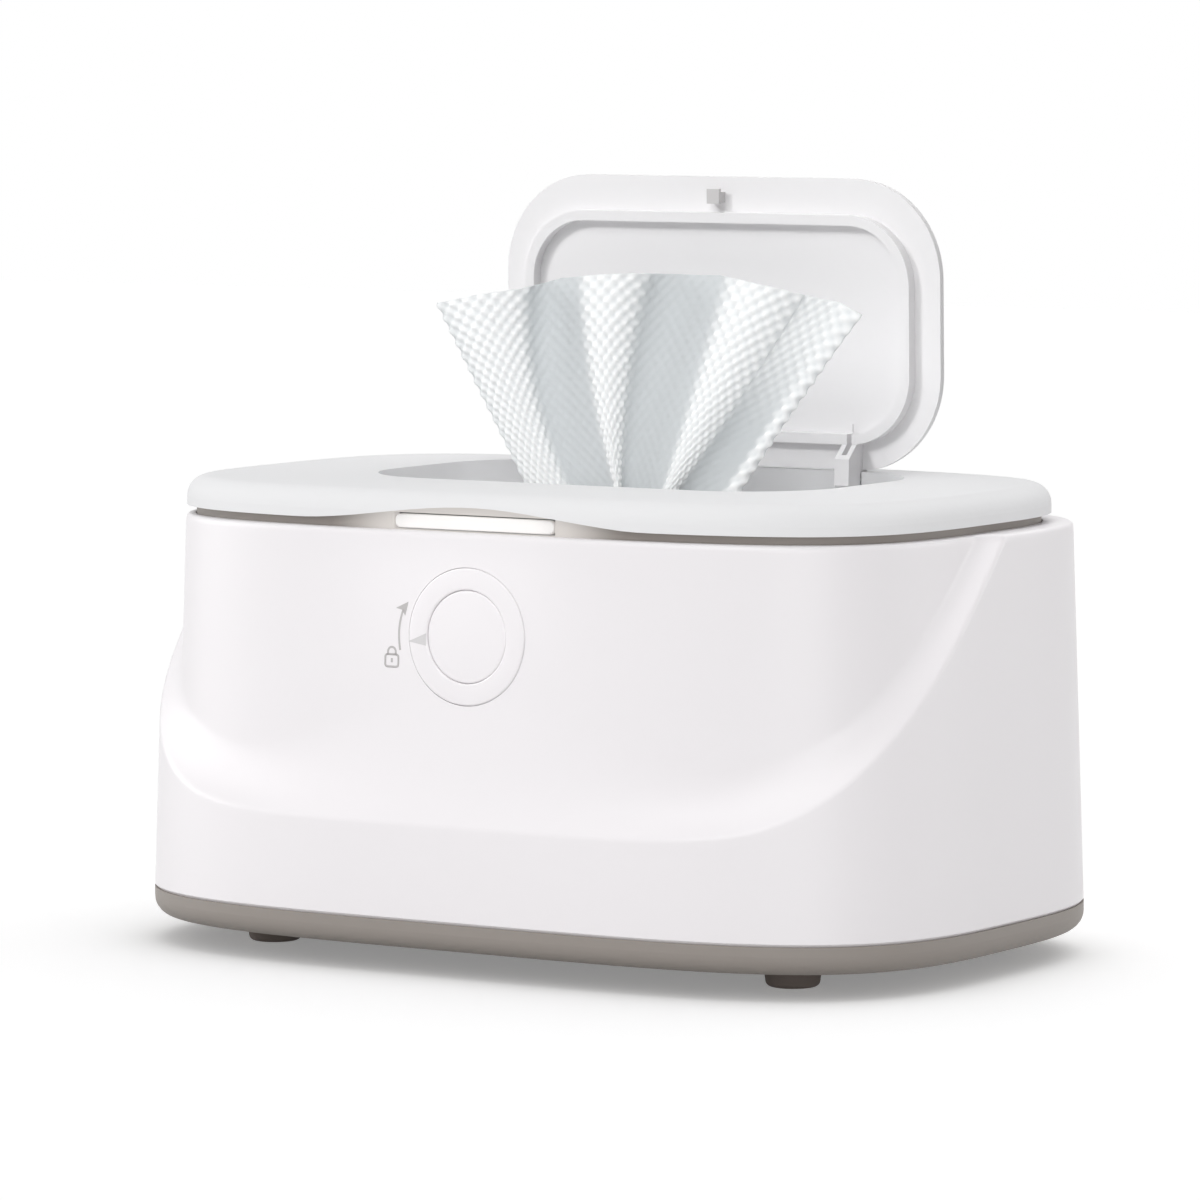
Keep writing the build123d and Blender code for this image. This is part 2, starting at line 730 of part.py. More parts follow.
with BuildPart() as board_screws:
    with BuildSketch(Plane.XY.offset(board_top_z)):
        with Locations((0, board_y)):
            with place_at_corners(*board_holes):
                Circle(board_screw_head_r)
    extrude(amount=board_screw_head_h)
    with BuildSketch(Plane.XY.offset(board_top_z)):
        with Locations((0, board_y)):
            with place_at_corners(*board_holes):
                Circle(board_screw_r)
    extrude(amount=-board_thickness - board_screw_grip)
save(board_screws, "board_screws")

connector_y = board_y - board_width / 2 + connector_size[1] / 2 + connector_inset
with BuildPart() as board_parts:
    with Locations((connector_x, connector_y, board_top_z)):
        Box(*connector_size, align=(Align.CENTER, Align.CENTER, Align.MIN))
    with Locations((0, board_y, board_top_z)):
        Box(*chip_size, align=(Align.CENTER, Align.CENTER, Align.MIN))
    with Locations((connector_x, board_y + capacitor_offset_y, board_top_z)):
        Cylinder(capacitor_r, capacitor_height, align=(Align.CENTER, Align.CENTER, Align.MIN))
save(board_parts, "board_parts")

inlet_face_y = half_depth - tray_wall - 2 * inlet_setback
with BuildPart() as power_inlet:
    with Locations((inlet_x, inlet_face_y - inlet_length / 2, inlet_z)):
        Box(inlet_width, inlet_length, inlet_height)
    inlet_face = Plane(origin=(inlet_x, inlet_face_y, inlet_z), x_dir=(-1, 0, 0), z_dir=(0, 1, 0))
    inlet_nose = half_depth - inlet_setback - inlet_face_y
    disc(inlet_face, inlet_nose_r, inlet_nose)
    disc(inlet_face.offset(inlet_nose), inlet_bore_r, -inlet_bore_depth, mode=Mode.SUBTRACT)
    disc(inlet_face.offset(inlet_nose - inlet_bore_depth), inlet_pin_r, inlet_bore_depth - inlet_pin_setback)
save(power_inlet, "power_inlet")

# two insulated leads from the connector to the film's tab
lead_start_y = connector_y - connector_size[1] / 2
lead_end_y = heater_width / 2 + film_tab_reach
lead_low_z = board_top_z + lead_drop
lead_high_z = film_z + film_thickness / 2
lead_rise_y = (lead_start_y + lead_end_y) / 2
lead_run = min(lead_start_y - lead_rise_y, lead_rise_y - lead_end_y)
with BuildPart() as heater_leads:
    for side in (-1, 1):
        lead_x = connector_x + side * lead_pitch / 2
        with BuildLine() as lead_path:
            FilletPolyline(
                (lead_x, lead_start_y, lead_low_z),
                (lead_x, lead_rise_y, lead_low_z),
                (lead_x, lead_rise_y, lead_high_z),
                (lead_x, lead_end_y, lead_high_z),
                radius=2 * lead_bend_share * lead_run,
            )
        with BuildSketch(Plane(origin=(lead_x, lead_start_y, lead_low_z), z_dir=(0, -1, 0))):
            Circle(lead_r)
        sweep(path=lead_path.line)
save(heater_leads, "heater_leads")

# ---- rim ring and night light ----------------------------------------------------------------
with BuildPart() as rim_ring:
    add(oblong_solid(flange_z + flange_thickness, ring_top_z, ring_inset))
    add(oblong_solid(flange_z, ring_top_z, ring_inset + ring_thickness), mode=Mode.SUBTRACT)
    with BuildSketch(Plane.XZ.offset(half_depth / 2)):
        with Locations((0, light_z)):
            Rectangle(light_length + 2 * light_fit, light_height + 2 * light_fit)
        with Locations((0, (cam_notch_z + flange_z) / 2)):
            Rectangle(2 * cam_notch_half, cam_notch_z - flange_z)
    extrude(amount=half_depth / 2, mode=Mode.SUBTRACT)
save(rim_ring, "rim_ring")

light_front = Plane.XZ.offset(-ring_front_y + light_proud)
with BuildPart() as light_bar:
    with BuildSketch(light_front):
        with Locations((0, light_z)):
            RectangleRounded(light_length, light_height, light_roundness * light_height)
    extrude(amount=-light_thickness)
    fillet(light_bar.faces().sort_by(Axis.Y)[0].edges(), light_edge_r)
save(light_bar, "light_bar")

with BuildPart() as light_leds:
    with BuildSketch(light_front.offset(-light_thickness)):
        with Locations((0, light_z)):
            with GridLocations(led_pitch, 1, 3, 1):
                Rectangle(led_length, led_height)
    extrude(amount=-led_thickness)
save(light_leds, "light_leds")

with BuildPart() as light_board:
    with BuildSketch(light_front.offset(-light_thickness - led_thickness)):
        with Locations((0, light_z)):
            Rectangle(strip_length, strip_height)
    extrude(amount=-strip_thickness)
save(light_board, "light_board")

# ---- dial: ring in front, cam behind -----------------------------------------------------------
with BuildPart() as dial_ring:
    disc(dial_plane.offset(dial_proud), dial_r, -(dial_proud + dial_recess - dial_back_gap))
    disc(dial_plane, dial_hub_r, -cam_depth)
    fillet(dial_ring.edges().filter_by(GeomType.CIRCLE).sort_by(Axis.Y)[:1], dial_edge_r)
    disc(dial_plane.offset(1), cap_bore_r, -2 * cam_depth, mode=Mode.SUBTRACT)
    disc(dial_plane.offset(-lip_bore_depth), lip_bore_r, -cam_depth, mode=Mode.SUBTRACT)
    # raised pointer, its tip outwards
    with BuildSketch(dial_plane.offset(dial_proud)) as pointer:
        with PolarLocations(0, 1, pointer_deg):
            Polygon(
                (cap_bore_r + pointer_base_gap, -pointer_base / 2),
                (dial_r - pointer_tip_gap, 0),
                (cap_bore_r + pointer_base_gap, pointer_base / 2),
                align=None,
            )
    extrude(amount=pointer_height)
save(dial_ring, "dial_ring")

with BuildPart() as lock_cam:
    disc(dial_plane.offset(-cam_depth), cam_r, -cam_thickness)
    with BuildSketch(dial_plane.offset(-cam_depth)):
        with Locations((0, cam_arm_r / 2)):
            Rectangle(cam_arm_width, cam_arm_r)
        with Locations((0, cam_arm_r)):
            Circle(cam_tip_r)
    extrude(amount=-cam_thickness)
    disc(dial_plane, cam_eye_r, -2 * cam_depth, mode=Mode.SUBTRACT)
    disc(dial_plane.offset(-cam_depth), peg_r, -cam_thickness - peg_length, (0, cam_arm_r))
save(lock_cam, "lock_cam")

# ---- push button and its spring ----------------------------------------------------------------
with BuildPart() as center_button:
    disc(dial_plane.offset(cap_dome), cap_r, -cap_dome - cap_depth)
    disc(dial_plane.offset(-cap_depth), cap_lip_r, cap_lip)
    disc(dial_plane.offset(-cap_thickness), cap_r - cap_skirt, -cap_depth, mode=Mode.SUBTRACT)
    disc(dial_plane, stem_r, -stem_depth)
    fillet(center_button.edges().filter_by(GeomType.CIRCLE).sort_by(Axis.Y)[:1], dial_edge_r)
save(center_button, "center_button")

spring_height = cam_depth - cap_thickness - 2 * spring_wire_r - 2 * spring_gap
with BuildPart() as button_spring:
    spring_foot = dial_plane.offset(-cam_depth + spring_wire_r + spring_gap)
    with BuildLine() as spring_line:
        Helix(
            spring_height / spring_turns,
            spring_height,
            spring_r,
            center=spring_foot.origin,
            direction=spring_foot.z_dir,
        )
    with BuildSketch(Plane(origin=spring_line.line @ 0, z_dir=spring_line.line % 0)):
        Circle(spring_wire_r)
    sweep(path=spring_line.line)
save(button_spring, "button_spring")

# ---- switch, its board and the bridge behind the button ------------------------------------------
with BuildPart() as tact_switch:
    disc(dial_plane.offset(-switch_top), switch_plunger_r, -switch_plunger)
    with BuildSketch(dial_plane.offset(-switch_top - switch_plunger)):
        Rectangle(switch_size, switch_size)
    extrude(amount=-switch_height)
save(tact_switch, "tact_switch")

with BuildPart() as switch_board:
    with BuildSketch(dial_plane.offset(-switch_top - switch_plunger - switch_height)):
        Rectangle(switch_board_length, switch_board_width)
    extrude(amount=-switch_board_thickness)
save(switch_board, "switch_board")

bridge_screw_places = [(-bridge_boss_x, 0), (bridge_boss_x, 0)]
with BuildPart() as switch_bridge:
    with BuildSketch(dial_plane.offset(-bridge_depth)):
        SlotOverall(bridge_length, bridge_width)
        with Locations(*bridge_screw_places):
            Circle(bridge_screw_r + bridge_screw_clearance, mode=Mode.SUBTRACT)
    extrude(amount=-bridge_thickness)
    with BuildSketch(dial_plane.offset(-bridge_depth - bridge_thickness)):
        with Locations(*bridge_screw_places):
            Circle(bridge_screw_head_r + bridge_screw_head_gap)
    extrude(amount=bridge_thickness / 2, mode=Mode.SUBTRACT)
save(switch_bridge, "switch_bridge")

with BuildPart() as bridge_screws:
    with BuildSketch(dial_plane.offset(-bridge_depth - bridge_thickness / 2)):
        with Locations(*bridge_screw_places):
            Circle(bridge_screw_head_r)
    extrude(amount=-bridge_thickness / 2)
    with BuildSketch(dial_plane.offset(-bridge_depth - bridge_thickness / 2)):
        with Locations(*bridge_screw_places):
            Circle(bridge_screw_r)
    extrude(amount=bridge_thickness / 2 + bridge_screw_grip - screw_end_gap)
save(bridge_screws, "bridge_screws")

# ---- main lid ----------------------------------------------------------------------------------
arm_half = arm_width / 2
slot_half = arm_half + arm_slot_gap
block_half = slot_half + flip_pin_grip + pin_end_wall


def pocket_sketch(height, grow):
    """Pocket outline at a height, grown by grow, with the slots or blocks of the flip hinge."""
    half = slot_half if grow == 0 else block_half
    back = slot_back_y if grow == 0 else block_back_y
    with BuildSketch(Plane.XY.offset(height)) as sketch:
        with Locations((0, pocket_y)):
            RectangleRounded(pocket_width + 2 * grow, pocket_depth + 2 * grow, pocket_r + grow)
        with Locations((arm_x, (pocket_y + back) / 2), (-arm_x, (pocket_y + back) / 2)):
            Rectangle(2 * half, back - pocket_y)
    return sketch.sketch


def well_sketch(height, grow):
    """Wells in the pocket's floor for the flip lid's arms, at a height, grown by grow."""
    with BuildSketch(Plane.XY.offset(height)) as sketch:
        middle_y = (well_front_y + slot_back_y) / 2
        with Locations((arm_x, middle_y), (-arm_x, middle_y)):
            Rectangle(2 * (slot_half + grow), slot_back_y - well_front_y + 2 * grow)
    return sketch.sketch


with BuildPart() as main_lid:
    add(oblong_solid(lid_bottom_z, lid_top_z, lid_inset))
    fillet(main_lid.edges().group_by(Axis.Z)[-1], lid_edge_r)
    add(oblong_solid(lid_bottom_z, deck_under_z, lid_inset + lid_wall), mode=Mode.SUBTRACT)
    extrude(pocket_sketch(tub_under_z, pocket_wall), amount=deck_under_z - tub_under_z)
    extrude(well_sketch(well_floor_z - well_wall, pocket_wall), amount=well_depth)
    with BuildSketch(Plane.XY.offset(liner_top_z)):
        with Locations(*lid_screw_places):
            Circle(lid_boss_r)
    extrude(amount=deck_under_z - liner_top_z)
    # hinge knuckles and the arms that join them to the skirt
    skirt_y = half_depth - lid_inset - lid_wall / 2
    for side in (-1, 1):
        for end in (-1, 1):
            middle = side * hinge_group_x + end * (casing_knuckle + lid_knuckle + 2 * knuckle_gap) / 2
            start = Plane.YZ.offset(middle - lid_knuckle / 2)
            disc(start, knuckle_r, lid_knuckle, hinge_centre)
            with BuildSketch(start):
                with Locations(((skirt_y + hinge_y) / 2, hinge_z + knuckle_r / 2)):
                    Rectangle(hinge_y - skirt_y, knuckle_r)
            extrude(amount=lid_knuckle)
    disc(hinge_start, hinge_pin_r + pin_fit, 2 * half_width, hinge_centre, Mode.SUBTRACT)
    # pocket, dispenser hole and the bores of the flip hinge
    extrude(pocket_sketch(pocket_floor_z, 0), amount=2 * lid_height, mode=Mode.SUBTRACT)
    extrude(well_sketch(well_floor_z, 0), amount=well_depth + pocket_wall, mode=Mode.SUBTRACT)
    with BuildSketch(Plane.XY.offset(tub_under_z)):
        with Locations((0, slot_y)):
            SlotOverall(insert_length - 2 * insert_step, insert_width - 2 * insert_step)
    extrude(amount=pocket_wall, mode=Mode.SUBTRACT)
    for side in (-1, 1):
        pin_start = side * arm_x - slot_half - flip_pin_grip
        pin_length = 2 * (slot_half + flip_pin_grip)
        pin_centre = (flip_pivot_y, flip_pivot_z)
        disc(Plane.YZ.offset(pin_start), flip_pin_r + pin_fit, pin_length, pin_centre, Mode.SUBTRACT)
    with BuildSketch(Plane.XY.offset(liner_top_z)):
        with Locations(*lid_screw_places):
            Circle(lid_screw_r + thread_fit)
    extrude(amount=deck_under_z - liner_top_z - lid_boss_cap, mode=Mode.SUBTRACT)
    # wave in the front skirt, over the light bar: a raised cosine
    with BuildSketch(Plane.XZ.offset(half_depth - lid_inset - 2 * lid_wall)):
        with BuildLine():
            wave = []
            for step in range(-wave_steps, wave_steps + 1):
                wave_x = step / wave_steps * wave_half_width
                wave_z = lid_bottom_z + wave_height * cos(pi / 2 * step / wave_steps) ** 2
                wave.append((wave_x, wave_z))
            Spline(*wave, tangents=[(1, 0), (1, 0)])
            Polyline(wave[-1], (wave[-1][0], rim_z), (wave[0][0], rim_z), wave[0])
        make_face()
    extrude(amount=2 * lid_wall + lid_inset, mode=Mode.SUBTRACT)
save(main_lid, "main_lid")

with BuildPart() as lid_liner:
    add(oblong_solid(liner_z, liner_top_z, liner_inset))
    extrude(pocket_sketch(liner_z, pocket_wall + liner_gap), amount=liner_thickness, mode=Mode.SUBTRACT)
    with BuildSketch(Plane.XY.offset(liner_z)):
        with Locations(*lid_screw_places):
            Circle(lid_screw_r + lid_screw_clearance)
    extrude(amount=liner_thickness, mode=Mode.SUBTRACT)
    with BuildSketch(Plane.XY.offset(liner_z)):
        with Locations(*lid_screw_places):
            Circle(lid_screw_head_r + lid_screw_head_gap)
    extrude(amount=lid_screw_head_h, mode=Mode.SUBTRACT)
save(lid_liner, "lid_liner")

with BuildPart() as lid_seal:
    add(tank_solid(seal_z, liner_z, -seal_overhang))
    add(tank_solid(seal_z, liner_z, tank_wall + seal_overhang), mode=Mode.SUBTRACT)
save(lid_seal, "lid_seal")

with BuildPart() as lid_screws:
    with BuildSketch(Plane.XY.offset(liner_z)):
        with Locations(*lid_screw_places):
            Circle(lid_screw_head_r)
    extrude(amount=lid_screw_head_h)
    with BuildSketch(Plane.XY.offset(liner_z)):
        with Locations(*lid_screw_places):
            Circle(lid_screw_r)
    extrude(amount=deck_under_z - liner_z - lid_boss_cap - screw_end_gap)
save(lid_screws, "lid_screws")

# lock hook: hangs from the liner beside the cam's peg, its throat open towards the peg
peg_centre = dial_plane.from_local_coords(Vector(0, cam_arm_r, -cam_depth - cam_thickness))
hook_front_y = peg_centre.Y + hook_tongue_gap
hook_edge_x = -peg_r - hook_side_gap
throat_half = peg_r + hook_peg_gap + hook_throat_spare
throat_low_z = peg_centre.Z - throat_half
with BuildPart() as lock_hook:
    with BuildSketch(Plane.XZ.offset(-hook_front_y)):
        hook_corner = (hook_edge_x - hook_throat - hook_back, throat_low_z - hook_lip)
        with Locations(hook_corner):
            Rectangle(hook_throat + hook_back, liner_z - hook_corner[1], align=(Align.MIN, Align.MIN))
        with Locations((hook_edge_x - hook_throat, throat_low_z)):
            Rectangle(
                hook_throat,
                2 * throat_half,
                align=(Align.MIN, Align.MIN),
                mode=Mode.SUBTRACT,
            )
    extrude(amount=-hook_tongue_thickness)
    with BuildSketch(Plane.XY.offset(liner_z)):
        with Locations((hook_corner[0], hook_front_y)):
            Rectangle(hook_throat + hook_back, hook_foot_depth, align=(Align.MIN, Align.MIN))
    extrude(amount=-hook_foot)
save(lock_hook, "lock_hook")

with BuildPart() as lid_hinge_pins:
    for side in (-1, 1):
        pin_half = casing_knuckle / 2 + knuckle_gap + lid_knuckle
        disc(
            Plane.YZ.offset(side * hinge_group_x - pin_half),
            hinge_pin_r,
            2 * pin_half,
            hinge_centre,
        )
save(lid_hinge_pins, "lid_hinge_pins")

with BuildPart() as dispenser_insert:
    with BuildSketch(Plane.XY.offset(pocket_floor_z)):
        with Locations((0, slot_y)):
            SlotOverall(insert_length, insert_width)
    extrude(amount=insert_flange)
    with BuildSketch(Plane.XY.offset(tub_under_z)):
        with Locations((0, slot_y)):
            hole_gap = insert_step + insert_gap
            SlotOverall(insert_length - 2 * hole_gap, insert_width - 2 * hole_gap)
    extrude(amount=pocket_wall)
    with BuildSketch(Plane.XY.offset(tub_under_z)):
        with Locations((0, slot_y)):
            SlotOverall(slit_length, slit_width)
    extrude(amount=pocket_wall + insert_flange, mode=Mode.SUBTRACT)
save(dispenser_insert, "dispenser_insert")

# ---- flip lid, its pins, springs and catch -------------------------------------------------------
arm_back_y = flip_edge_y + flip_thickness
arm_top_z = flip_pivot_z + arm_rise
underside_y = flip_edge_y - arm_root
groove_y = arm_front_y + groove_start
shoulder_z = flip_pivot_z + arm_shoulder * arm_rise
with BuildPart() as flip_lid:
    with BuildSketch(flip_plane):
        with Locations((0, flip_length / 2)):
            RectangleRounded(flip_width, flip_length, flip_r)
        Rectangle(flip_width, 2 * flip_edge_gap, mode=Mode.SUBTRACT)
    extrude(amount=-flip_thickness)
    fillet(flip_lid.faces().sort_by(Axis.Y)[-1].edges(), flip_edge_fillet)
    with BuildSketch(flip_plane):
        with Locations((0, rib_margin + rib_length / 2)):
            RectangleRounded(rib_width, rib_length, rib_r)
            RectangleRounded(
                rib_width - 2 * rib_thickness,
                rib_length - 2 * rib_thickness,
                rib_r - rib_thickness,
                mode=Mode.SUBTRACT,
            )
    extrude(amount=rib_height)
    for side in (-1, 1):
        with BuildSketch(Plane.YZ.offset(side * arm_x - arm_half)) as arm:
            Polygon(
                (underside_y + arm_tip_depth, arm_top_z),
                (underside_y, arm_top_z),
                (arm_front_y + arm_slope, shoulder_z),
                (arm_front_y, flip_pivot_z - arm_front_drop),
                (flip_pivot_y - arm_heel * hub_r, flip_pivot_z - hub_r),
                (flip_pivot_y, flip_pivot_z - hub_r),
                (arm_back_y - arm_back_gap, flip_pivot_z - hub_r / 2),
                (arm_back_y - arm_back_gap, lid_top_z + arm_back_rise),
                align=None,
            )
            with Locations((flip_pivot_y, flip_pivot_z)):
                Circle(flip_pin_r + pin_run, mode=Mode.SUBTRACT)
        extrude(arm.sketch, amount=arm_width)
        # groove down the wedge between the arm's two fingers, and the spring's room on the pin
        with BuildSketch(Plane.YZ.offset(side * arm_x - arm_groove / 2)) as groove:
            with Locations((flip_pivot_y - hub_r, flip_pivot_z - 2 * hub_r)):
                Rectangle(2 * hub_r, 2 * hub_r + flip_pivot_drop, align=(Align.MIN, Align.MIN))
            Polygon(
                (groove_y, shoulder_z - groove_depth),
                (flip_edge_y, arm_top_z - groove_depth),
                (flip_edge_y, arm_top_z + groove_depth),
                (groove_y, arm_top_z + groove_depth),
                align=None,
            )
        extrude(groove.sketch, amount=arm_groove, mode=Mode.SUBTRACT)
save(flip_lid, "flip_lid")

with BuildPart() as latch_hook:
    with BuildSketch(flip_plane):
        with Locations((0, flip_length - hook_inset)):
            Rectangle(hook_width, hook_stem)
    extrude(amount=hook_height)
    with BuildSketch(flip_plane.offset(hook_height)):
        with Locations((0, flip_length - hook_inset + hook_head_shift)):
            Rectangle(hook_width, hook_head)
    extrude(amount=-hook_head_thickness)
save(latch_hook, "latch_hook")

with BuildPart() as flip_catch:
    catch_y = flip_pivot_y - flip_length + hook_inset - flip_pivot_drop
    for side in (-1, 1):
        with BuildSketch(Plane.XY.offset(pocket_floor_z)) as jaw:
            with Locations((side * (hook_width / 2 + hook_gap + catch_thickness / 2), catch_y)):
                Rectangle(catch_thickness, catch_length)
        extrude(jaw.sketch, amount=catch_height)
save(flip_catch, "flip_catch")

with BuildPart() as flip_hinge_pins:
    for side in (-1, 1):
        pin_half = slot_half + flip_pin_grip
        disc(
            Plane.YZ.offset(side * arm_x - pin_half),
            flip_pin_r,
            2 * pin_half,
            (flip_pivot_y, flip_pivot_z),
        )
save(flip_hinge_pins, "flip_hinge_pins")

coil_length = arm_groove - 2 * coil_wire_r - 2 * coil_side_gap
coil_r = flip_pin_r + coil_wire_r + coil_pin_gap
with BuildPart() as flip_springs:
    for side in (-1, 1):
        coil_start = side * arm_x - coil_length / 2
        with BuildLine() as coil_line:
            Helix(
                coil_length / coil_turns,
                coil_length,
                coil_r,
                center=(coil_start, flip_pivot_y, flip_pivot_z),
                direction=(1, 0, 0),
            )
        with BuildSketch(Plane(origin=coil_line.line @ 0, z_dir=coil_line.line % 0)) as coil_section:
            Circle(coil_wire_r)
        sweep(coil_section.sketch, path=coil_line.line)
save(flip_springs, "flip_springs")
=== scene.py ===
"""Visual model of a table-top baby wipe warmer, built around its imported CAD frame.

Sizes in the classes are millimetres in the row frame: +X right, +Y back, +Z up, with the
origin on the table under the middle of the casing. MM turns them to metres at the mesh.
"""

from __future__ import annotations

import json
import logging
import math
from dataclasses import dataclass, field
from enum import Enum

import bmesh
import bpy
import numpy as np
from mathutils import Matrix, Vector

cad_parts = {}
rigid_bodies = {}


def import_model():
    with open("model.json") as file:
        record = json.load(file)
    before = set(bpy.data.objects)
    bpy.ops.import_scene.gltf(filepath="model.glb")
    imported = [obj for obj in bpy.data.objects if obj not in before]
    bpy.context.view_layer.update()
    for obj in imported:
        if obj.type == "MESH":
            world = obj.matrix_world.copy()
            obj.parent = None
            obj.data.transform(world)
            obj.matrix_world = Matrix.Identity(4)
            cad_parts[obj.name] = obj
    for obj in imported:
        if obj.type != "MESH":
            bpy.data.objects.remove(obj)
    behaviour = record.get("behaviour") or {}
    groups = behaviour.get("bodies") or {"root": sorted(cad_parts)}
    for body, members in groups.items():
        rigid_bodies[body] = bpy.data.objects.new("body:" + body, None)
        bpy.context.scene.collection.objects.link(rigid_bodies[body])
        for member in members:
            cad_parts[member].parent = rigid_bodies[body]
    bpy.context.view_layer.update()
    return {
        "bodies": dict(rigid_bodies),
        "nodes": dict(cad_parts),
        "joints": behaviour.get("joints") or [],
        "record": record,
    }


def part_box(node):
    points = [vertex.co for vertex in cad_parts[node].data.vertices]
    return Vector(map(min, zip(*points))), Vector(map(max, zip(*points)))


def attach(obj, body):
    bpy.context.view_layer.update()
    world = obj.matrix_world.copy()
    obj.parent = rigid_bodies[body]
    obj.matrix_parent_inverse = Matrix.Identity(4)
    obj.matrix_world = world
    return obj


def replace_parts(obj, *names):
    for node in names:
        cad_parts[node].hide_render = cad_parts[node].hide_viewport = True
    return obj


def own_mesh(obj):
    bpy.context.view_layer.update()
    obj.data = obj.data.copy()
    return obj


MM = 0.001
LOG = logging.getLogger("wipe_warmer")
MERGE_DISTANCE_M = 1e-7
CLOUD_MM = 45


# ---- finishes ---------------------------------------------------------------------------------
def linear(colour: str) -> tuple[float, float, float, float]:
    """Turn an sRGB hex colour such as 'f0eeee' to a linear RGBA value."""
    parts = [int(colour[i : i + 2], 16) / 255 for i in (0, 2, 4)]
    light = [p / 12.92 if p <= 0.04045 else ((p + 0.055) / 1.055) ** 2.4 for p in parts]
    return light[0], light[1], light[2], 1.0


def add_node(
    tree: bpy.types.NodeTree,
    kind: str,
    settings: dict | None = None,
    links: dict | None = None,
    **values: object,
) -> bpy.types.Node:
    """Add one shader node.

    Args:
        tree: node tree that gets the node.
        kind: Blender's node type.
        settings: attributes of the node, such as an operation.
        links: input name to the output socket that feeds it.
        values: input name, with _ for a space, to its constant value.

    Returns:
        The new node.
    """
    node = tree.nodes.new(kind)
    for name, value in (settings or {}).items():
        setattr(node, name, value)
    for name, value in values.items():
        node.inputs[name.replace("_", " ")].default_value = value
    for name, socket in (links or {}).items():
        tree.links.new(socket, node.inputs[name])
    return node


class Pattern(Enum):
    """How a surface was made, which decides its fine relief, and for spunlace a painted shade in the
    cloth's folds.
    """

    MOULDED = "moulded"
    ROLLED = "rolled"
    SPUNLACE = "spunlace"


@dataclass(frozen=True)
class Finish:
    """One real material: what it is made of and how its surface was made."""

    title: str
    colour: str
    roughness: float
    ior: float = 1.54
    metallic: float = 0.0
    grain_mm: float = 0.6
    grain_depth_mm: float = 0.004
    mottle: float = 0.03
    glow: float = 0.0
    glow_span: tuple[float, float] = (16.0, 23.0)
    glow_centre: tuple[float, float, float] = (0.0, -66.0, 103.5)
    glow_colour: str = "f8f6f4"
    sheen: float = 0.0
    specular: float = 0.5
    fold_shade_colour: str = "cdd1d3"
    pattern: Pattern = Pattern.MOULDED

    def material(self) -> bpy.types.Material:
        """Build the node material for this finish.

        Returns:
            A material whose colour, roughness and relief vary at the finish's own grain; a spunlace
            cloth's colour also takes a painted shade, by a share per point.
        """
        made = bpy.data.materials.new(self.title)
        made.use_nodes = True
        tree = made.node_tree
        shader = tree.nodes["Principled BSDF"]
        place = add_node(tree, "ShaderNodeTexCoord").outputs["Object"]
        if self.pattern is Pattern.ROLLED:
            # rolling leaves marks drawn out along the sheet
            place = add_node(
                tree, "ShaderNodeMapping", links={"Vector": place}, Scale=(0.08, 1.0, 1.0)
            ).outputs["Vector"]
        at = {"Vector": place}
        fine, coarse = 1 / (self.grain_mm * MM), 1 / (CLOUD_MM * MM)
        grain = add_node(tree, "ShaderNodeTexNoise", links=at, Scale=fine, Detail=3.0)
        cloud = add_node(tree, "ShaderNodeTexNoise", links=at, Scale=coarse, Detail=2.0)
        base = linear(self.colour)
        dim = tuple(c * (1 - self.mottle) for c in base[:3]) + (1.0,)
        share = cloud.outputs["Fac"]
        if self.pattern is Pattern.SPUNLACE:
            # painted shade: the cloth is mixed towards a grey-blue by a share per point, in its flutes
            # and between its dots, where shade falls
            dim = linear(self.fold_shade_colour)
            source = {"attribute_name": "unshaded_cloth", "attribute_type": "GEOMETRY"}
            share = add_node(tree, "ShaderNodeAttribute", source).outputs["Fac"]
        tint = add_node(tree, "ShaderNodeMix", {"data_type": "RGBA"}, {"Factor": share})
        tint.inputs[6].default_value = dim
        tint.inputs[7].default_value = base
        tree.links.new(tint.outputs[2], shader.inputs["Base Color"])
        rough = add_node(tree, "ShaderNodeMapRange", links={"Value": grain.outputs["Fac"]})
        rough.inputs["To Min"].default_value = max(0.02, self.roughness - 0.03)
        rough.inputs["To Max"].default_value = min(1.0, self.roughness + 0.03)
        tree.links.new(rough.outputs["Result"], shader.inputs["Roughness"])
        height = {"Height": grain.outputs["Fac"]}
        relief = add_node(tree, "ShaderNodeBump", links=height, Distance=self.grain_depth_mm * MM)
        tree.links.new(relief.outputs["Normal"], shader.inputs["Normal"])
        shader.inputs["Metallic"].default_value = self.metallic
        if self.metallic < 0.5:
            shader.inputs["IOR"].default_value = self.ior
        shader.inputs["Specular IOR Level"].default_value = self.specular
        shader.inputs["Sheen Weight"].default_value = self.sheen
        if self.glow:
            # the lamps sit in the middle of the bar, so its ends are dimmer; on the taupe ring the same
            # fall paints the bar's spilt light as a glow of the ring's own
            shader.inputs["Emission Color"].default_value = linear(self.glow_colour)
            far = add_node(tree, "ShaderNodeVectorMath", {"operation": "DISTANCE"}, {0: place})
            far.inputs[1].default_value = tuple(c * MM for c in self.glow_centre)
            smooth = {"interpolation_type": "SMOOTHSTEP"}
            fall = add_node(tree, "ShaderNodeMapRange", smooth, {"Value": far.outputs["Value"]})
            fall.inputs["From Min"].default_value = self.glow_span[0] * MM
            fall.inputs["From Max"].default_value = self.glow_span[1] * MM
            fall.inputs["To Min"].default_value = self.glow
            fall.inputs["To Max"].default_value = 0.0
            tree.links.new(fall.outputs["Result"], shader.inputs["Emission Strength"])
        return made


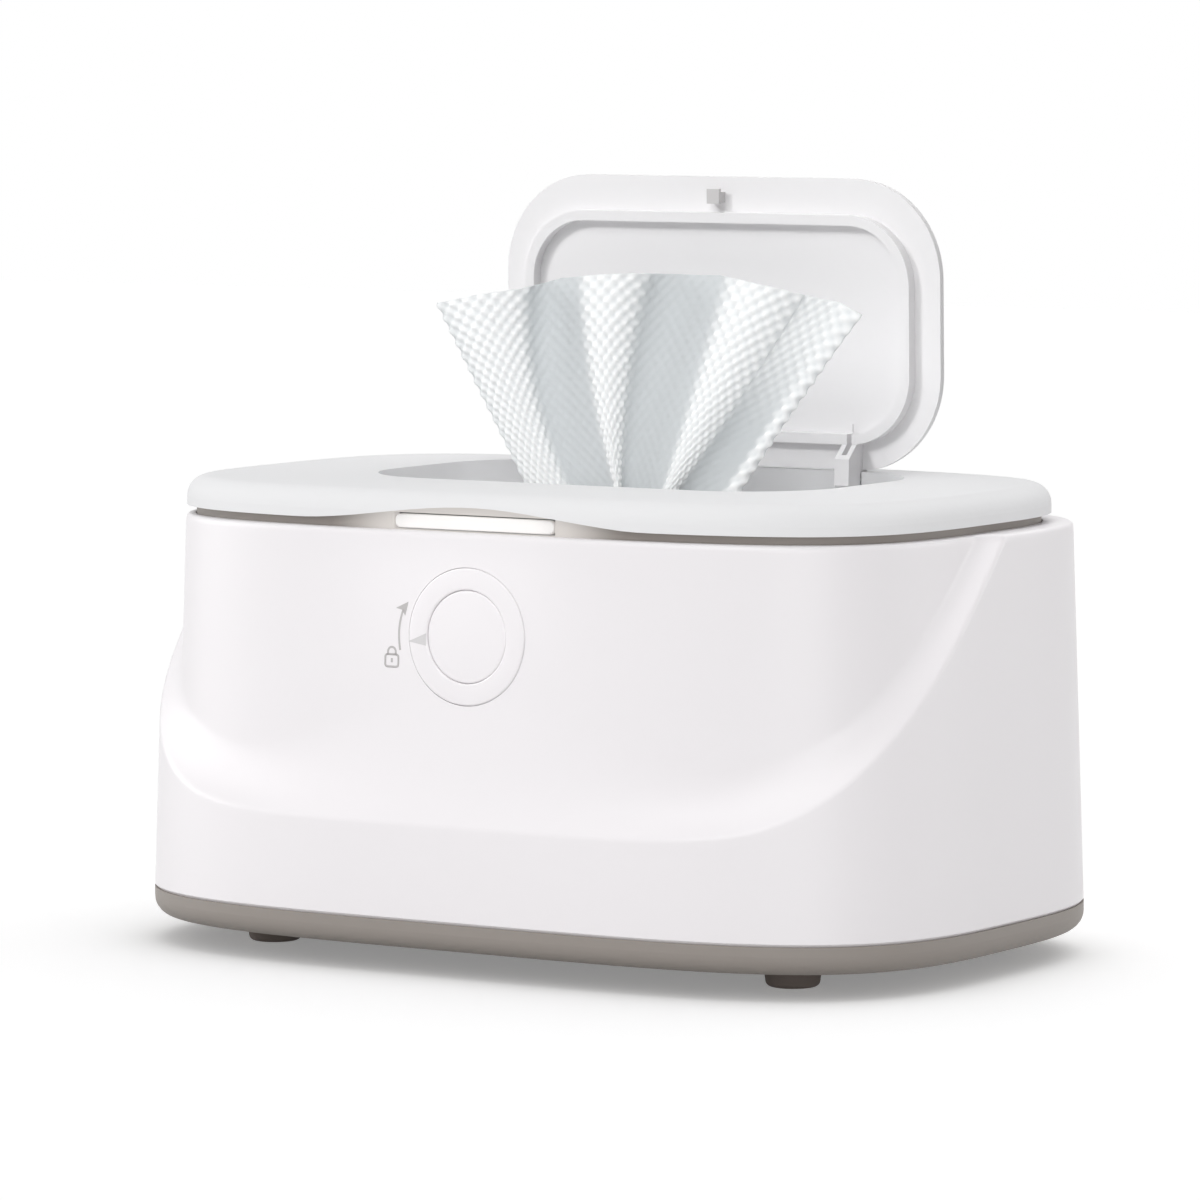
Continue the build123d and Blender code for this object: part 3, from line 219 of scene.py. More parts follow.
# Moulded ABS and PP: satin skins copied from a spark-eroded tool, so the grain is a few microns.
FINISHES: dict[str, Finish] = {
    "white_shell": Finish("satin ABS, casing", "ece9eb", 0.36, 1.54, grain_mm=0.5, mottle=0.01),
    # painted shade: the lid is a slightly darker copy of the casing's white ABS, darkened for the shade
    # on it
    "lid_shell": Finish("satin ABS, lid", "e8e8e9", 0.6, grain_mm=0.5, mottle=0.01, specular=0.08),
    # painted light: the flip lid is a lighter copy of the same white ABS, brightened for the light that
    # falls on it
    "flip_shell_painted_light": Finish("satin ABS, flip lid", "f5f4f5", 0.5, grain_mm=0.5, mottle=0.01, specular=0.2),
    # painted shade: the hook is a darker copy of the tank's polypropylene, darkened for the shade on it
    "hook_plastic_painted_shade": Finish("moulded polypropylene, hook", "d2d0d0", 0.45, 1.49),
    "taupe_plastic": Finish("textured ABS, taupe", "8f8882", 0.55, grain_mm=0.4, grain_depth_mm=0.01),
    # painted light: the ring is a lighter copy of the taupe plastic and glows near the light bar, where
    # the bar's light spills over it
    "ring_plastic_painted_glow": Finish(
        "textured ABS, lit taupe ring",
        "968f89",
        0.55,
        grain_mm=0.4,
        grain_depth_mm=0.01,
        glow=0.4,
        glow_span=(22.0, 42.0),
    ),
    "rubber": Finish("matt rubber foot", "887d77", 0.8, 1.52, grain_mm=0.5, grain_depth_mm=0.02),
    "steel": Finish("zinc-plated steel", "b9bbbd", 0.35, metallic=1.0, grain_mm=0.3),
    "tank_plastic": Finish("moulded polypropylene", "e6e6e4", 0.45, 1.49),
    "wipe": Finish(
        "spunlace nonwoven",
        "fdfefe",
        0.9,
        1.46,
        grain_mm=0.25,
        grain_depth_mm=0.03,
        sheen=0.2,
        pattern=Pattern.SPUNLACE,
    ),
    "silicone": Finish("moulded silicone", "d9d7d6", 0.6, 1.41),
    "aluminium": Finish(
        "rolled aluminium", "c5c7c9", 0.4, metallic=1.0, grain_mm=0.4, pattern=Pattern.ROLLED
    ),
    "film": Finish("polyimide film", "b06a24", 0.25, 1.7, grain_mm=2.0),
    "foam": Finish("closed-cell foam", "d8d5c8", 0.95, 1.4, grain_mm=0.8, grain_depth_mm=0.1),
    "board": Finish("solder-masked board", "1e5a3c", 0.35, 1.55, grain_mm=1.5),
    "black_plastic": Finish("black nylon", "26272a", 0.5, 1.53),
    "light": Finish("opal acrylic, lit", "f8f6f4", 0.3, 1.49, glow=0.08),
    "led": Finish("lamp, encapsulated", "fff4d8", 0.3, 1.5),
    "insulation": Finish("silicone insulation", "d8d8d8", 0.6, 1.41),
    "print": Finish("printed mark, grey", "b9b6b6", 0.5, 1.5),
    "pale_print": Finish("printed mark, pale grey", "d0cecf", 0.5, 1.5),
}


@dataclass
class Paintbox:
    """Makes each finish once and hands it out by its slot."""

    made: dict[str, bpy.types.Material] = field(default_factory=dict)

    def get(self, slot: str) -> bpy.types.Material:
        """Return the material of a slot, made on first use."""
        if slot not in self.made:
            self.made[slot] = FINISHES[slot].material()
        return self.made[slot]

    def dress_frame(self, frame: dict) -> None:
        """Give every CAD node the full material of its record slot, with the script's own slots for the
        flip lid, the latch hook and the rim ring.
        """
        slots = {s["node"]: s["material_slot"] for s in frame["record"]["subparts"]}
        slots.update(flip_lid="flip_shell_painted_light", latch_hook="hook_plastic_painted_shade", rim_ring="ring_plastic_painted_glow")
        for name, node in frame["nodes"].items():
            node.data.materials.clear()
            node.data.materials.append(self.get(slots[name]))


# ---- meshes -----------------------------------------------------------------------------------
def grid_quads(index: np.ndarray) -> np.ndarray:
    """Four-cornered faces of a grid of point numbers, as an array of four columns."""
    corners = [index[:-1, :-1], index[:-1, 1:], index[1:, 1:], index[1:, :-1]]
    return np.stack(corners, axis=-1).reshape(-1, 4)


def grid_object(
    name: str,
    points: np.ndarray,
    wrap_rows: bool = False,
    wrap_columns: bool = False,
) -> bpy.types.Object:
    """Make a mesh object from a grid of points.

    Args:
        name: object name.
        points: rows x columns x 3, in millimetres.
        wrap_rows: join the last row to the first.
        wrap_columns: join the last column to the first.

    Returns:
        The linked, smooth-shaded object.
    """
    rows, columns = points.shape[:2]
    index = np.arange(rows * columns).reshape(rows, columns)
    if wrap_rows:
        index = np.vstack([index, index[:1]])
    if wrap_columns:
        index = np.hstack([index, index[:, :1]])
    quads = grid_quads(index)
    mesh = bpy.data.meshes.new(name)
    mesh.vertices.add(rows * columns)
    mesh.vertices.foreach_set("co", (points.reshape(-1, 3) * MM).astype(np.float32).ravel())
    mesh.loops.add(quads.size)
    mesh.loops.foreach_set("vertex_index", quads.astype(np.int32).ravel())
    mesh.polygons.add(len(quads))
    mesh.polygons.foreach_set("loop_start", np.arange(0, quads.size, 4, dtype=np.int32))
    mesh.polygons.foreach_set("use_smooth", np.ones(len(quads), dtype=bool))
    mesh.update(calc_edges=True)
    mesh.validate()
    made = bpy.data.objects.new(name, mesh)
    bpy.context.collection.objects.link(made)
    return made


def face_outwards(mesh: bpy.types.Mesh, merge: bool = False) -> None:
    """Turn every face of a closed mesh outwards, its coinciding points merged first if asked."""
    tidy = bmesh.new()
    tidy.from_mesh(mesh)
    if merge:
        bmesh.ops.remove_doubles(tidy, verts=tidy.verts, dist=MERGE_DISTANCE_M)
    bmesh.ops.recalc_face_normals(tidy, faces=tidy.faces)
    tidy.to_mesh(mesh)
    tidy.free()


def solid_from_rings(name: str, rings: np.ndarray) -> bpy.types.Object:
    """Make a closed solid from a stack of closed rings, each end drawn together at its middle.

    Args:
        name: object name.
        rings: rings x points x 3, in millimetres.

    Returns:
        The object, with its end points merged and its normals outwards.
    """
    ends = [np.broadcast_to(rings[i].mean(0), rings[i].shape)[None] for i in (0, -1)]
    made = grid_object(name, np.concatenate([ends[0], rings, ends[1]]), wrap_columns=True)
    face_outwards(made.data, merge=True)
    made.data.set_sharp_from_angle(angle=math.radians(40))
    return made


def turned_rings(
    profile: list[tuple[float, float]],
    centre: tuple[float, float, float],
    facing: int,
    lean: float,
    count: int,
) -> np.ndarray:
    """Rings of a shape turned about a line that points out of the casing.

    Args:
        profile: radius of each ring and its height along the line, in mm.
        centre: point on the line at height 0, in mm.
        facing: -1 when the line points to the front, 1 when it points to the back.
        lean: how far the line tilts up, as a slope.
        count: points in a ring.

    Returns:
        Rings x count x 3 array; each ring is centre + r cos t across + r sin t up + h out.
    """
    turn = np.linspace(0, 2 * np.pi, count, endpoint=False)
    size = math.hypot(1, lean)
    out = np.array([0, facing, lean]) / size
    rise = np.array([0, -facing * lean, 1]) / size
    circle = np.cos(turn)[:, None] * np.array([1.0, 0, 0]) + np.sin(turn)[:, None] * rise
    return np.array([np.array(centre) + r * circle + h * out for r, h in profile])


def cut(piece: bpy.types.Object, tool: bpy.types.Object) -> None:
    """Take a closed tool away from a closed piece, and remove the tool."""
    change = piece.modifiers.new("cut", "BOOLEAN")
    change.object = tool
    change.solver = "EXACT"
    bpy.context.view_layer.update()
    baked = bpy.data.meshes.new_from_object(piece.evaluated_get(bpy.context.evaluated_depsgraph_get()))
    piece.modifiers.clear()
    piece.data = baked
    bpy.data.objects.remove(tool)


def finish_piece(
    piece: bpy.types.Object,
    paint: Paintbox,
    body: str,
    slot: str,
) -> None:
    """Paint a piece, make it ride on its body and report it.

    Args:
        piece: the object.
        paint: source of the materials.
        body: body that it rides on.
        slot: finish that it takes.
    """
    piece.data.materials.clear()
    piece.data.materials.append(paint.get(slot))
    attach(piece, body)
    LOG.info("%s: %d faces", piece.name, len(piece.data.polygons))


def smoothstep(share: np.ndarray) -> np.ndarray:
    """Smooth step 3s^2 - 2s^3 of a share clipped to 0..1."""
    s = np.clip(share, 0, 1)
    return s * s * (3 - 2 * s)


@dataclass(frozen=True)
class Oblong:
    """The casing's plan: the superellipse |x/a|^4 + |y/b|^3.24 = 1."""

    half_x: float = 110.0
    half_y: float = 72.5
    power_x: float = 4.0
    power_y: float = 3.24
    fine: int = 40001

    def walk(self, count: int, front_share: float = 0.5) -> tuple[np.ndarray, np.ndarray]:
        """Points round the plan, evenly spaced in its front and in its back, and their outward normals.

        Args:
            count: number of points.
            front_share: share of the points that lie in the front half, y < 0.

        Returns:
            Two count x 2 arrays, points in mm and unit normals.
        """
        turn = np.linspace(0, 2 * np.pi, self.fine)
        c, s = np.cos(turn), np.sin(turn)
        x = self.half_x * np.sign(c) * np.abs(c) ** (2 / self.power_x)
        y = self.half_y * np.sign(s) * np.abs(s) ** (2 / self.power_y)
        run = np.concatenate([[0], np.cumsum(np.hypot(np.diff(x), np.diff(y)))])
        front = round(count * front_share)
        half = run[-1] / 2
        back_run = np.linspace(0, half, count - front, endpoint=False)
        front_run = half + np.linspace(0, half, front, endpoint=False)
        at = np.concatenate([back_run, front_run])
        x, y = np.interp(at, run, x), np.interp(at, run, y)
        nx = self.power_x / self.half_x * np.sign(x) * np.abs(x / self.half_x) ** (self.power_x - 1)
        ny = self.power_y / self.half_y * np.sign(y) * np.abs(y / self.half_y) ** (self.power_y - 1)
        size = np.hypot(nx, ny)
        return np.stack([x, y], -1), np.stack([nx / size, ny / size], -1)


# ---- casing -----------------------------------------------------------------------------------
@dataclass
class Casing:
    """White outer housing with the scooped front."""

    plan: Oblong = field(default_factory=Oblong)
    low_z: float = 12.6
    rim_z: float = 103.3
    lean: float = 0.0337
    wall: float = 2.2
    scoop_depth: float = 5.0
    crease_high: tuple[float, float] = (12.8, 115.7)
    crease_low: tuple[float, float] = (-70.9, 34.0)
    bend_r: float = 22.0
    ramp_top: float = 4.5
    ramp_foot: float = 11.0
    ramp_run: float = 62.0
    ramp_middle: float = 27.0
    ramp_fade_x: float = 74.0
    ease: float = 2.0
    foot_edge: float = 0.7
    rim_edge: float = 1.2
    rim_step: float = 2.0
    inner_mid_z: float = 60.0
    columns: int = 620
    front_share: float = 0.78
    rows: int = 130
    tool_reach: float = 2.0
    tool_points: int = 160
    dial_z: float = 79.25
    dial_seat_r: float = 16.14
    dial_seat_depth: float = 2.0
    dial_bore_r: float = 13.25
    dial_bore_depth: float = 12.0
    inlet: tuple[float, float] = (18.0, 19.6)
    inlet_hole_r: float = 4.2
    inlet_hole_depth: float = 16.0
    knuckle_x: float = 34.0
    knuckle_length: float = 12.0
    knuckle_centre: tuple[float, float] = (66.6, 105.5)
    knuckle_r: float = 1.9
    knuckle_taper: float = 0.93

    def crease_distance(self, y: np.ndarray, z: np.ndarray) -> np.ndarray:
        """Side-view distance into the scoop from its crease, negative outside it.

        The crease runs level, down a slope and level again, with an arc at each bend.
        """
        high, low = np.array(self.crease_high), np.array(self.crease_low)
        along = (low - high) / np.linalg.norm(low - high)
        across = np.array([along[1], -along[0]])
        bend = math.acos(-along[0])
        cut = self.bend_r * math.tan(bend / 2)
        step = (y - high[0]) * along[0] + (z - high[1]) * along[1]
        slope = (y - high[0]) * across[0] + (z - high[1]) * across[1]
        first = np.hypot(y - high[0] - cut, z - high[1] + self.bend_r) - self.bend_r
        first = np.where(y > high[0] + cut, z - high[1], first)
        second = self.bend_r - np.hypot(y - low[0] + cut, z - low[1] - self.bend_r)
        length = float(np.linalg.norm(low - high))
        return np.where(step < cut, first, np.where(step > length - cut, second, slope))

    def depth(self, x: np.ndarray, y: np.ndarray, z: np.ndarray) -> np.ndarray:
        """How deep the scoop is at a point: scoop_depth x (1 - (1 - s)^ease).

        Here s is the distance from the crease over the ramp, so that the scoop starts steep and
        runs out softly inside. The ramp widens from ramp_top at the rim to ramp_foot, and on
        the front to ramp_middle, both by a smoothstep.
        """
        wide = 1 - smoothstep(np.abs(x) / self.ramp_fade_x)
        fall = smoothstep((self.rim_z - z) / self.ramp_run)
        ramp = self.ramp_top + (self.ramp_foot - self.ramp_top) * fall
        share = np.clip(self.crease_distance(y, z) / (ramp + (self.ramp_middle - ramp) * wide), 0, 1)
        return self.scoop_depth * (1 - (1 - share) ** self.ease)

    def build(self, paint: Paintbox) -> bpy.types.Object:
        """Make the housing as one closed shell.

        Each point of the plan is moved inwards along the plan's normal by the wall's lean and
        the scoop's depth.

        Returns:
            The piece, riding on the housing and standing for the CAD shell.
        """
        spots, normals = self.plan.walk(self.columns, self.front_share)

        def wall_at(inset: float | np.ndarray, level: float | np.ndarray) -> np.ndarray:
            """Rows of points: the plan moved in by inset, at the height level."""
            moved = spots - np.atleast_2d(inset)[..., None] * normals
            return np.concatenate([moved, (level + 0 * moved[..., 0])[..., None]], -1)

        z = np.linspace(self.low_z + self.foot_edge, self.rim_z - self.rim_edge, self.rows)[:, None]
        z = z + 0 * spots[:, 0]
        depth = self.depth(spots[:, 0] + 0 * z, spots[:, 1] + 0 * z, z)
        rows = [wall_at(self.foot_edge, self.low_z), wall_at(self.lean * (z - self.low_z) + depth, z)]
        rim_lean = self.lean * (self.rim_z - self.low_z)
        for angle in np.linspace(0, np.pi / 2, 7)[1:]:
            back = rim_lean + depth[-1] + self.rim_edge * (1 - math.cos(angle))
            rows.append(wall_at(back, self.rim_z - self.rim_edge * (1 - math.sin(angle))))
        inner = rim_lean + self.scoop_depth + self.wall
        for level in (self.rim_z, self.rim_z - self.rim_step, self.inner_mid_z, self.low_z):
            rows.append(wall_at(inner, level))
        piece = grid_object("casing_shell", np.concatenate(rows), wrap_rows=True, wrap_columns=True)
        reach = self.tool_reach
        seat = [(self.dial_seat_r, reach), (self.dial_seat_r, -self.dial_seat_depth)]
        seat += [(self.dial_bore_r, -self.dial_seat_depth), (self.dial_bore_r, -self.dial_bore_depth)]
        dial_centre = (0, self.skin(0, self.dial_z), self.dial_z)
        hole = [(self.inlet_hole_r, reach), (self.inlet_hole_r, -self.inlet_hole_depth)]
        inlet_centre = (self.inlet[0], self.plan.half_y, self.inlet[1])
        for profile, centre, facing, lean in (
            (seat, dial_centre, -1, self.lean),
            (hole, inlet_centre, 1, 0),
        ):
            rings = turned_rings(profile, centre, facing, lean, self.tool_points)
            cut(piece, solid_from_rings("tool", rings))
        piece.data.set_sharp_from_angle(angle=math.radians(45))
        finish_piece(piece, paint, "housing", "white_shell")
        for side in (-1, 1):
            finish_piece(self.knuckle(side), paint, "housing", "white_shell")
        return piece

    def skin(self, x: float | np.ndarray, z: float | np.ndarray) -> float | np.ndarray:
        """Depth y of the front panel inside the scoop: the plan moved in by the scoop and the lean."""
        front = self.plan.half_y * (1 - np.abs(x / self.plan.half_x) ** self.plan.power_x) ** (
            1 / self.plan.power_y
        )
        return -front + self.scoop_depth + self.lean * (z - self.low_z)

    def knuckle(self, side: int) -> bpy.types.Object:
        """Middle knuckle of the lid hinge: a barrel on a web, carried along x."""
        y, z = self.knuckle_centre
        web = 0.8 * self.knuckle_r
        start = math.acos(web / self.knuckle_r)
        turn = np.linspace(-start, math.pi + start, 40)
        outline = np.stack([y + self.knuckle_r * np.cos(turn), z + self.knuckle_r * np.sin(turn)], -1)
        foot = np.array([[y - web, self.rim_z - 1.0], [y + web, self.rim_z - 1.0]])
        outline = np.concatenate([outline, foot])
        reach = self.knuckle_length / 2 * np.array([-1, -0.95, 0.95, 1])
        middle = outline.mean(0)
        rings = []
        for r, k in zip(reach, (self.knuckle_taper, 1, 1, self.knuckle_taper)):
            x = np.full(len(outline), side * self.knuckle_x + r)
            rings.append(np.column_stack([x, middle + k * (outline - middle)]))
        name = "casing_knuckle_left" if side < 0 else "casing_knuckle_right"
        return solid_from_rings(name, np.array(rings))


# ---- dial -------------------------------------------------------------------------------------
@dataclass
class Dial:
    """Lock dial and the push button in its middle, both turned about the panel's normal."""

    casing: Casing
    face: tuple[float, float] = (10.92, 16.05)
    proud: float = 0.3
    edge: float = 0.5
    hub_r: float = 13.0
    hub_depth: float = 4.5
    plate_depth: float = 1.9
    cap_r: float = 10.84
    cap_proud: float = 0.08
    cap_dome: float = 0.24
    cap_dome_r: float = 10.5
    cap_depth: float = 2.6
    points: int = 240

    def turned(self, name: str, profile: list[tuple[float, float]], capped: bool) -> bpy.types.Object:
        """Turn a profile of (radius, height out of the panel) about the dial's axis."""
        centre = (0, self.casing.skin(0, self.casing.dial_z), self.casing.dial_z)
        rings = turned_rings(profile, centre, -1, self.casing.lean, self.points)
        if capped:
            return solid_from_rings(name, rings)
        made = grid_object(name, rings, wrap_rows=True, wrap_columns=True)
        face_outwards(made.data)
        made.data.set_sharp_from_angle(angle=math.radians(40))
        return made

    def arc(self, radius: float, height: float, inward: bool) -> list[tuple[float, float]]:
        """Quarter round of the edge size, from the wall to the face or back."""
        steps = np.linspace(0, math.pi / 2, 6)
        side = -1 if inward else 1
        return [
            (radius - side * self.edge * (1 - math.cos(a)), height - self.edge * (1 - math.sin(a)))
            for a in steps
        ]

    def build(self, paint: Paintbox) -> None:
        """Make the ring on the dial's body and the cap on the button's."""
        low, high = self.face
        ring = [(low, -self.plate_depth)] + self.arc(low, self.proud, True)
        ring += self.arc(high, self.proud, False)[::-1] + [(high, -self.plate_depth)]
        ring += [(self.hub_r, -self.plate_depth), (self.hub_r, -self.hub_depth)]
        ring += [(low, -self.hub_depth)]
        dial = self.turned("dial_face", ring, False)
        finish_piece(dial, paint, "dial", "white_shell")
        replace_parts(dial, "dial_ring")
        cap = [(self.cap_r, -self.cap_depth)] + self.arc(self.cap_r, self.cap_proud, False)
        crown = self.cap_dome - self.cap_proud
        for r in np.linspace(10, 0.5, 12):
            cap.append((r, self.cap_proud + crown * (1 - (r / self.cap_dome_r) ** 2)))
        button = self.turned("button_cap", cap, True)
        finish_piece(button, paint, "button", "white_shell")
        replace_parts(button, "center_button")


# ---- wipes ------------------------------------------------------------------------------------
@dataclass
class DrawnWipe:
    """The wipe that stands out of the slit, fanned out in soft flutes."""

    slot_y: float = 11.0
    foot_z: float = 104.4
    start: float = -0.06
    # each fold line runs from the slit to the top edge as x = a + b v + c v^2
    lines: tuple[tuple[float, float, float], ...] = (
        (-30.0, -28.5, 0.0),
        (-18.0, -33.5, 19.5),
        (-5.0, -20.5, 9.0),
        (-5.7, -0.6, 8.5),
        (5.2, 21.0, -1.0),
        (6.5, 43.5, -4.0),
        (20.5, 40.0, -3.0),
        (25.0, 31.5, 5.2),
    )
    # the top edge, as (x, z)
    top: tuple[tuple[float, float], ...] = (
        (-58.5, 152.5),
        (-45.9, 154.7),
        (-34.2, 156.5),
        (-22.7, 159.6),
        (-11.2, 160.3),
        (0.0, 161.0),
        (11.4, 161.3),
        (22.6, 161.1),
        (33.7, 158.9),
        (55.7, 155.4),
        (61.7, 152.6),
    )
    depth_low: float = 1.3
    depth_high: float = 4.6
    flute_power: float = 0.75
    dot_across: float = 3.1
    dot_up: float = 3.6
    dot_height: float = 1.2
    dot_power: float = 1.4
    dot_in_fold: float = 0.3
    lean_x: float = 0.6
    lean_z: float = 0.088
    open_v: tuple[float, float] = (0.3, 0.85)
    open_from: float = 5.0
    open_share: float = 0.8
    thickness: float = 0.3
    columns: int = 286
    rows: int = 134
    flat_width: float = 150.0
    keep: float = 0.024
    tail_low_z: float = 78.2
    tail_gap: float = 4.2
    tail_half: tuple[float, float] = (49.0, 28.5)
    tail_wave: float = 1.1
    tail_flutes: int = 7

    def line_x(self, v: np.ndarray, w: np.ndarray) -> np.ndarray:
        """x of fold coordinate w (0 at the left edge, 7 at the right) at height share v."""
        lines = np.array(self.lines)
        at = lines[:, 0][:, None] + lines[:, 1][:, None] * v[None] + lines[:, 2][:, None] * v[None] ** 2
        return np.array([np.interp(w, np.arange(len(lines)), at[:, i]) for i in range(len(v))])

    def build(self, paint: Paintbox) -> bpy.types.Object:
        """Make the fan as one closed thin sheet.

        The flutes are y = -A(v) sin(pi w) flattened by a power, with A growing up the sheet;
        the dots are (0.5 + 0.5 cos 2 pi a cos 2 pi b)^1.4 along the cloth's normal.

        Returns:
            The piece, riding on the lid.
        """
        spread = self.line_x(np.array([0.75]), np.arange(8.0))[0]
        w = np.interp(np.linspace(spread[0], spread[-1], self.columns), spread, np.arange(8.0))
        v = np.linspace(self.start, 1, self.rows)
        x = self.line_x(np.maximum(v, 0), w)
        wave = -np.sin(np.pi * w)
        wave = np.sign(wave) * np.abs(wave) ** self.flute_power
        kernel = np.exp(-0.5 * (np.arange(-6, 7) / 2.6) ** 2)
        wave = np.convolve(np.pad(wave, 6, mode="edge"), kernel / kernel.sum(), mode="valid")
        wave = wave * np.clip(np.minimum(w, 7 - w) * 3, 0, 1) ** 0.5
        depth = self.depth_low + self.depth_high * np.maximum(v, 0) ** 0.9
        # the last flute opens out towards the top edge
        low, high = self.open_v
        flattened = np.where(w > self.open_from, self.open_share, 0.0)[None]
        flattened = flattened * smoothstep((v[:, None] - low) / (high - low))
        wave = wave[None] * (1 - flattened)
        shift = depth[:, None] * wave
        top = np.interp(self.line_x(np.array([1.0]), w)[0], *np.array(self.top).T)
        z = self.foot_z + (top - self.foot_z)[None] * v[:, None]
        base = np.stack([x - self.lean_x * shift, self.slot_y + shift, z - self.lean_z * shift], -1)
        along = np.gradient(base, axis=1)
        up = np.gradient(base, axis=0)
        normal = np.cross(along, up)
        normal /= np.linalg.norm(normal, axis=-1, keepdims=True)
        across = np.interp(w, np.arange(8.0), spread)[None] / self.dot_across
        rise = (top - self.foot_z).max() * v[:, None] / self.dot_up
        dots = (0.5 + 0.5 * np.cos(2 * np.pi * across) * np.cos(2 * np.pi * rise)) ** self.dot_power
        opened = 0.5 - 0.5 * np.clip(2.6 * wave, -1, 1)
        opened = opened + (1 - opened) * flattened
        narrow = np.clip((x[:, -1] - x[:, 0]) / (spread[-1] - spread[0]), 0.4, 1)[:, None]
        relief = self.dot_height * dots * narrow * (self.dot_in_fold + (1 - self.dot_in_fold) * opened)
        front = base + normal * relief[..., None]
        back = front - normal * self.thickness
        piece = self.thin_solid("drawn_wipe", front, back)
        # painted shade: the share of the cloth's own colour is low in the flutes and between the dots,
        # the rest being the grey-blue fold shade
        shade = np.tile((opened * (0.3 + 0.7 * dots**0.5)).ravel(), 2)
        mark = piece.data.attributes.new("unshaded_cloth", "FLOAT", "POINT")
        mark.data.foreach_set("value", shade.astype(np.float32))
        finish_piece(piece, paint, "main_lid", "wipe")
        tail = self.tail(paint)
        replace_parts(piece, "wipe_sheet")
        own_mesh(piece)
        return piece

    def thin_solid(self, name: str, front: np.ndarray, back: np.ndarray) -> bpy.types.Object:
        """Join a front and a back grid round their borders into one closed mesh."""
        rows, columns = front.shape[:2]
        index = np.arange(rows * columns).reshape(rows, columns)
        quads = grid_quads(index)
        rim = np.concatenate([index[0, :-1], index[:-1, -1], index[-1, :0:-1], index[:0:-1, 0]])
        after = np.roll(rim, -1)
        count = rows * columns
        border = np.stack([rim, rim + count, after + count, after], -1)
        faces = np.concatenate([quads, quads[:, ::-1] + count, border])
        mesh = bpy.data.meshes.new(name)
        mesh.from_pydata(np.concatenate([front.reshape(-1, 3), back.reshape(-1, 3)]) * MM, [], faces)
        mesh.polygons.foreach_set("use_smooth", np.ones(len(faces), dtype=bool))
        mesh.update(calc_edges=True)
        made = bpy.data.objects.new(name, mesh)
        bpy.context.collection.objects.link(made)
        return made

    def tail(self, paint: Paintbox) -> bpy.types.Object:
        """Part of the wipe between the pile and the slit: a soft ribbon that narrows upwards."""
        share = np.linspace(0, 1, 40)[:, None]
        across = np.linspace(-1, 1, 120)[None]
        low, high = self.tail_half
        x = -2 + (low + (high - low) * smoothstep(share)) * across
        wave = self.tail_wave * np.sin(self.tail_flutes * math.pi * (across + 1) / 2)
        y = self.slot_y + wave * (0.4 + 0.6 * share)
        z = self.tail_low_z + (self.foot_z - self.tail_gap - self.tail_low_z) * share + 0 * across
        front = np.stack([x, y - self.thickness / 2, z], -1)
        piece = self.thin_solid("drawn_wipe_tail", front, front + np.array([0, self.thickness, 0]))
        # painted shade: with no share per point, the tail takes the grey-blue fold shade all over
        finish_piece(piece, paint, "main_lid", "wipe")
        return piece


@dataclass
class WipePile:
    """The pile of folded wipes in the tank."""

    layers: int = 30
    corner_power: float = 9.0
    bulge: float = 0.35
    overhang: float = 0.6
    rows_per_layer: int = 6
    drift_step: float = 2.4
    top_rows: int = 60
    sag: float = 0.25
    sag_run: float = 9.0

    def build(self, paint: Paintbox) -> bpy.types.Object:
        """Make the pile as rings |x/a|^9 + |y/b|^9 = 1, each layer's edge rounded as a fold.

        Returns:
            The piece, riding on the housing and standing for the CAD block.
        """
        low, high = (np.array(corner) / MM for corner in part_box("wipe_stack"))
        half, middle = (high - low) / 2, (high + low) / 2
        turn = np.linspace(0, 2 * np.pi, 300, endpoint=False)
        c, s = np.cos(turn), np.sin(turn)
        power = 2 / self.corner_power
        plan = np.stack([np.sign(c) * np.abs(c) ** power, np.sign(s) * np.abs(s) ** power], -1)
        levels = np.linspace(0, 1, self.layers * self.rows_per_layer + 1)
        phase = (levels * self.layers) % 1
        pull = self.bulge * (1 - np.sqrt(np.clip(1 - (2 * phase - 1) ** 2, 0, 1)))
        drift = self.overhang * np.sin(np.floor(levels * self.layers - 1e-9) * self.drift_step)
        sides = half[:2][None] - pull[:, None] - self.overhang + 0.5 * np.abs(drift)[:, None]
        rings = plan[None] * sides[:, None]
        rings[..., 0] += middle[0] + 0.5 * drift[:, None]
        rings[..., 1] += middle[1]
        z = low[2] + (high[2] - low[2]) * levels[:, None] + 0 * turn[None]
        body = np.concatenate([rings, z[..., None]], -1)
        shrink = np.linspace(1, 0.02, self.top_rows)[1:, None, None]
        top = np.repeat(body[-1:], self.top_rows - 1, 0)
        top[..., :2] = middle[:2] + (top[..., :2] - middle[:2]) * shrink
        inside = np.clip((1 - shrink[..., 0]) * 4, 0, 1)
        top[..., 2] = high[2] - self.sag * (1 - np.cos(top[..., 0] / self.sag_run)) * inside
        piece = solid_from_rings("wipe_pile", np.concatenate([body, top]))
        # the whole pile is mixed a little towards the grey-blue painted fold shade
        mark = piece.data.attributes.new("unshaded_cloth", "FLOAT", "POINT")
        mark.data.foreach_set("value", np.full(len(piece.data.vertices), 0.85, dtype=np.float32))
        finish_piece(piece, paint, "housing", "wipe")
        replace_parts(piece, "wipe_stack")
        return piece


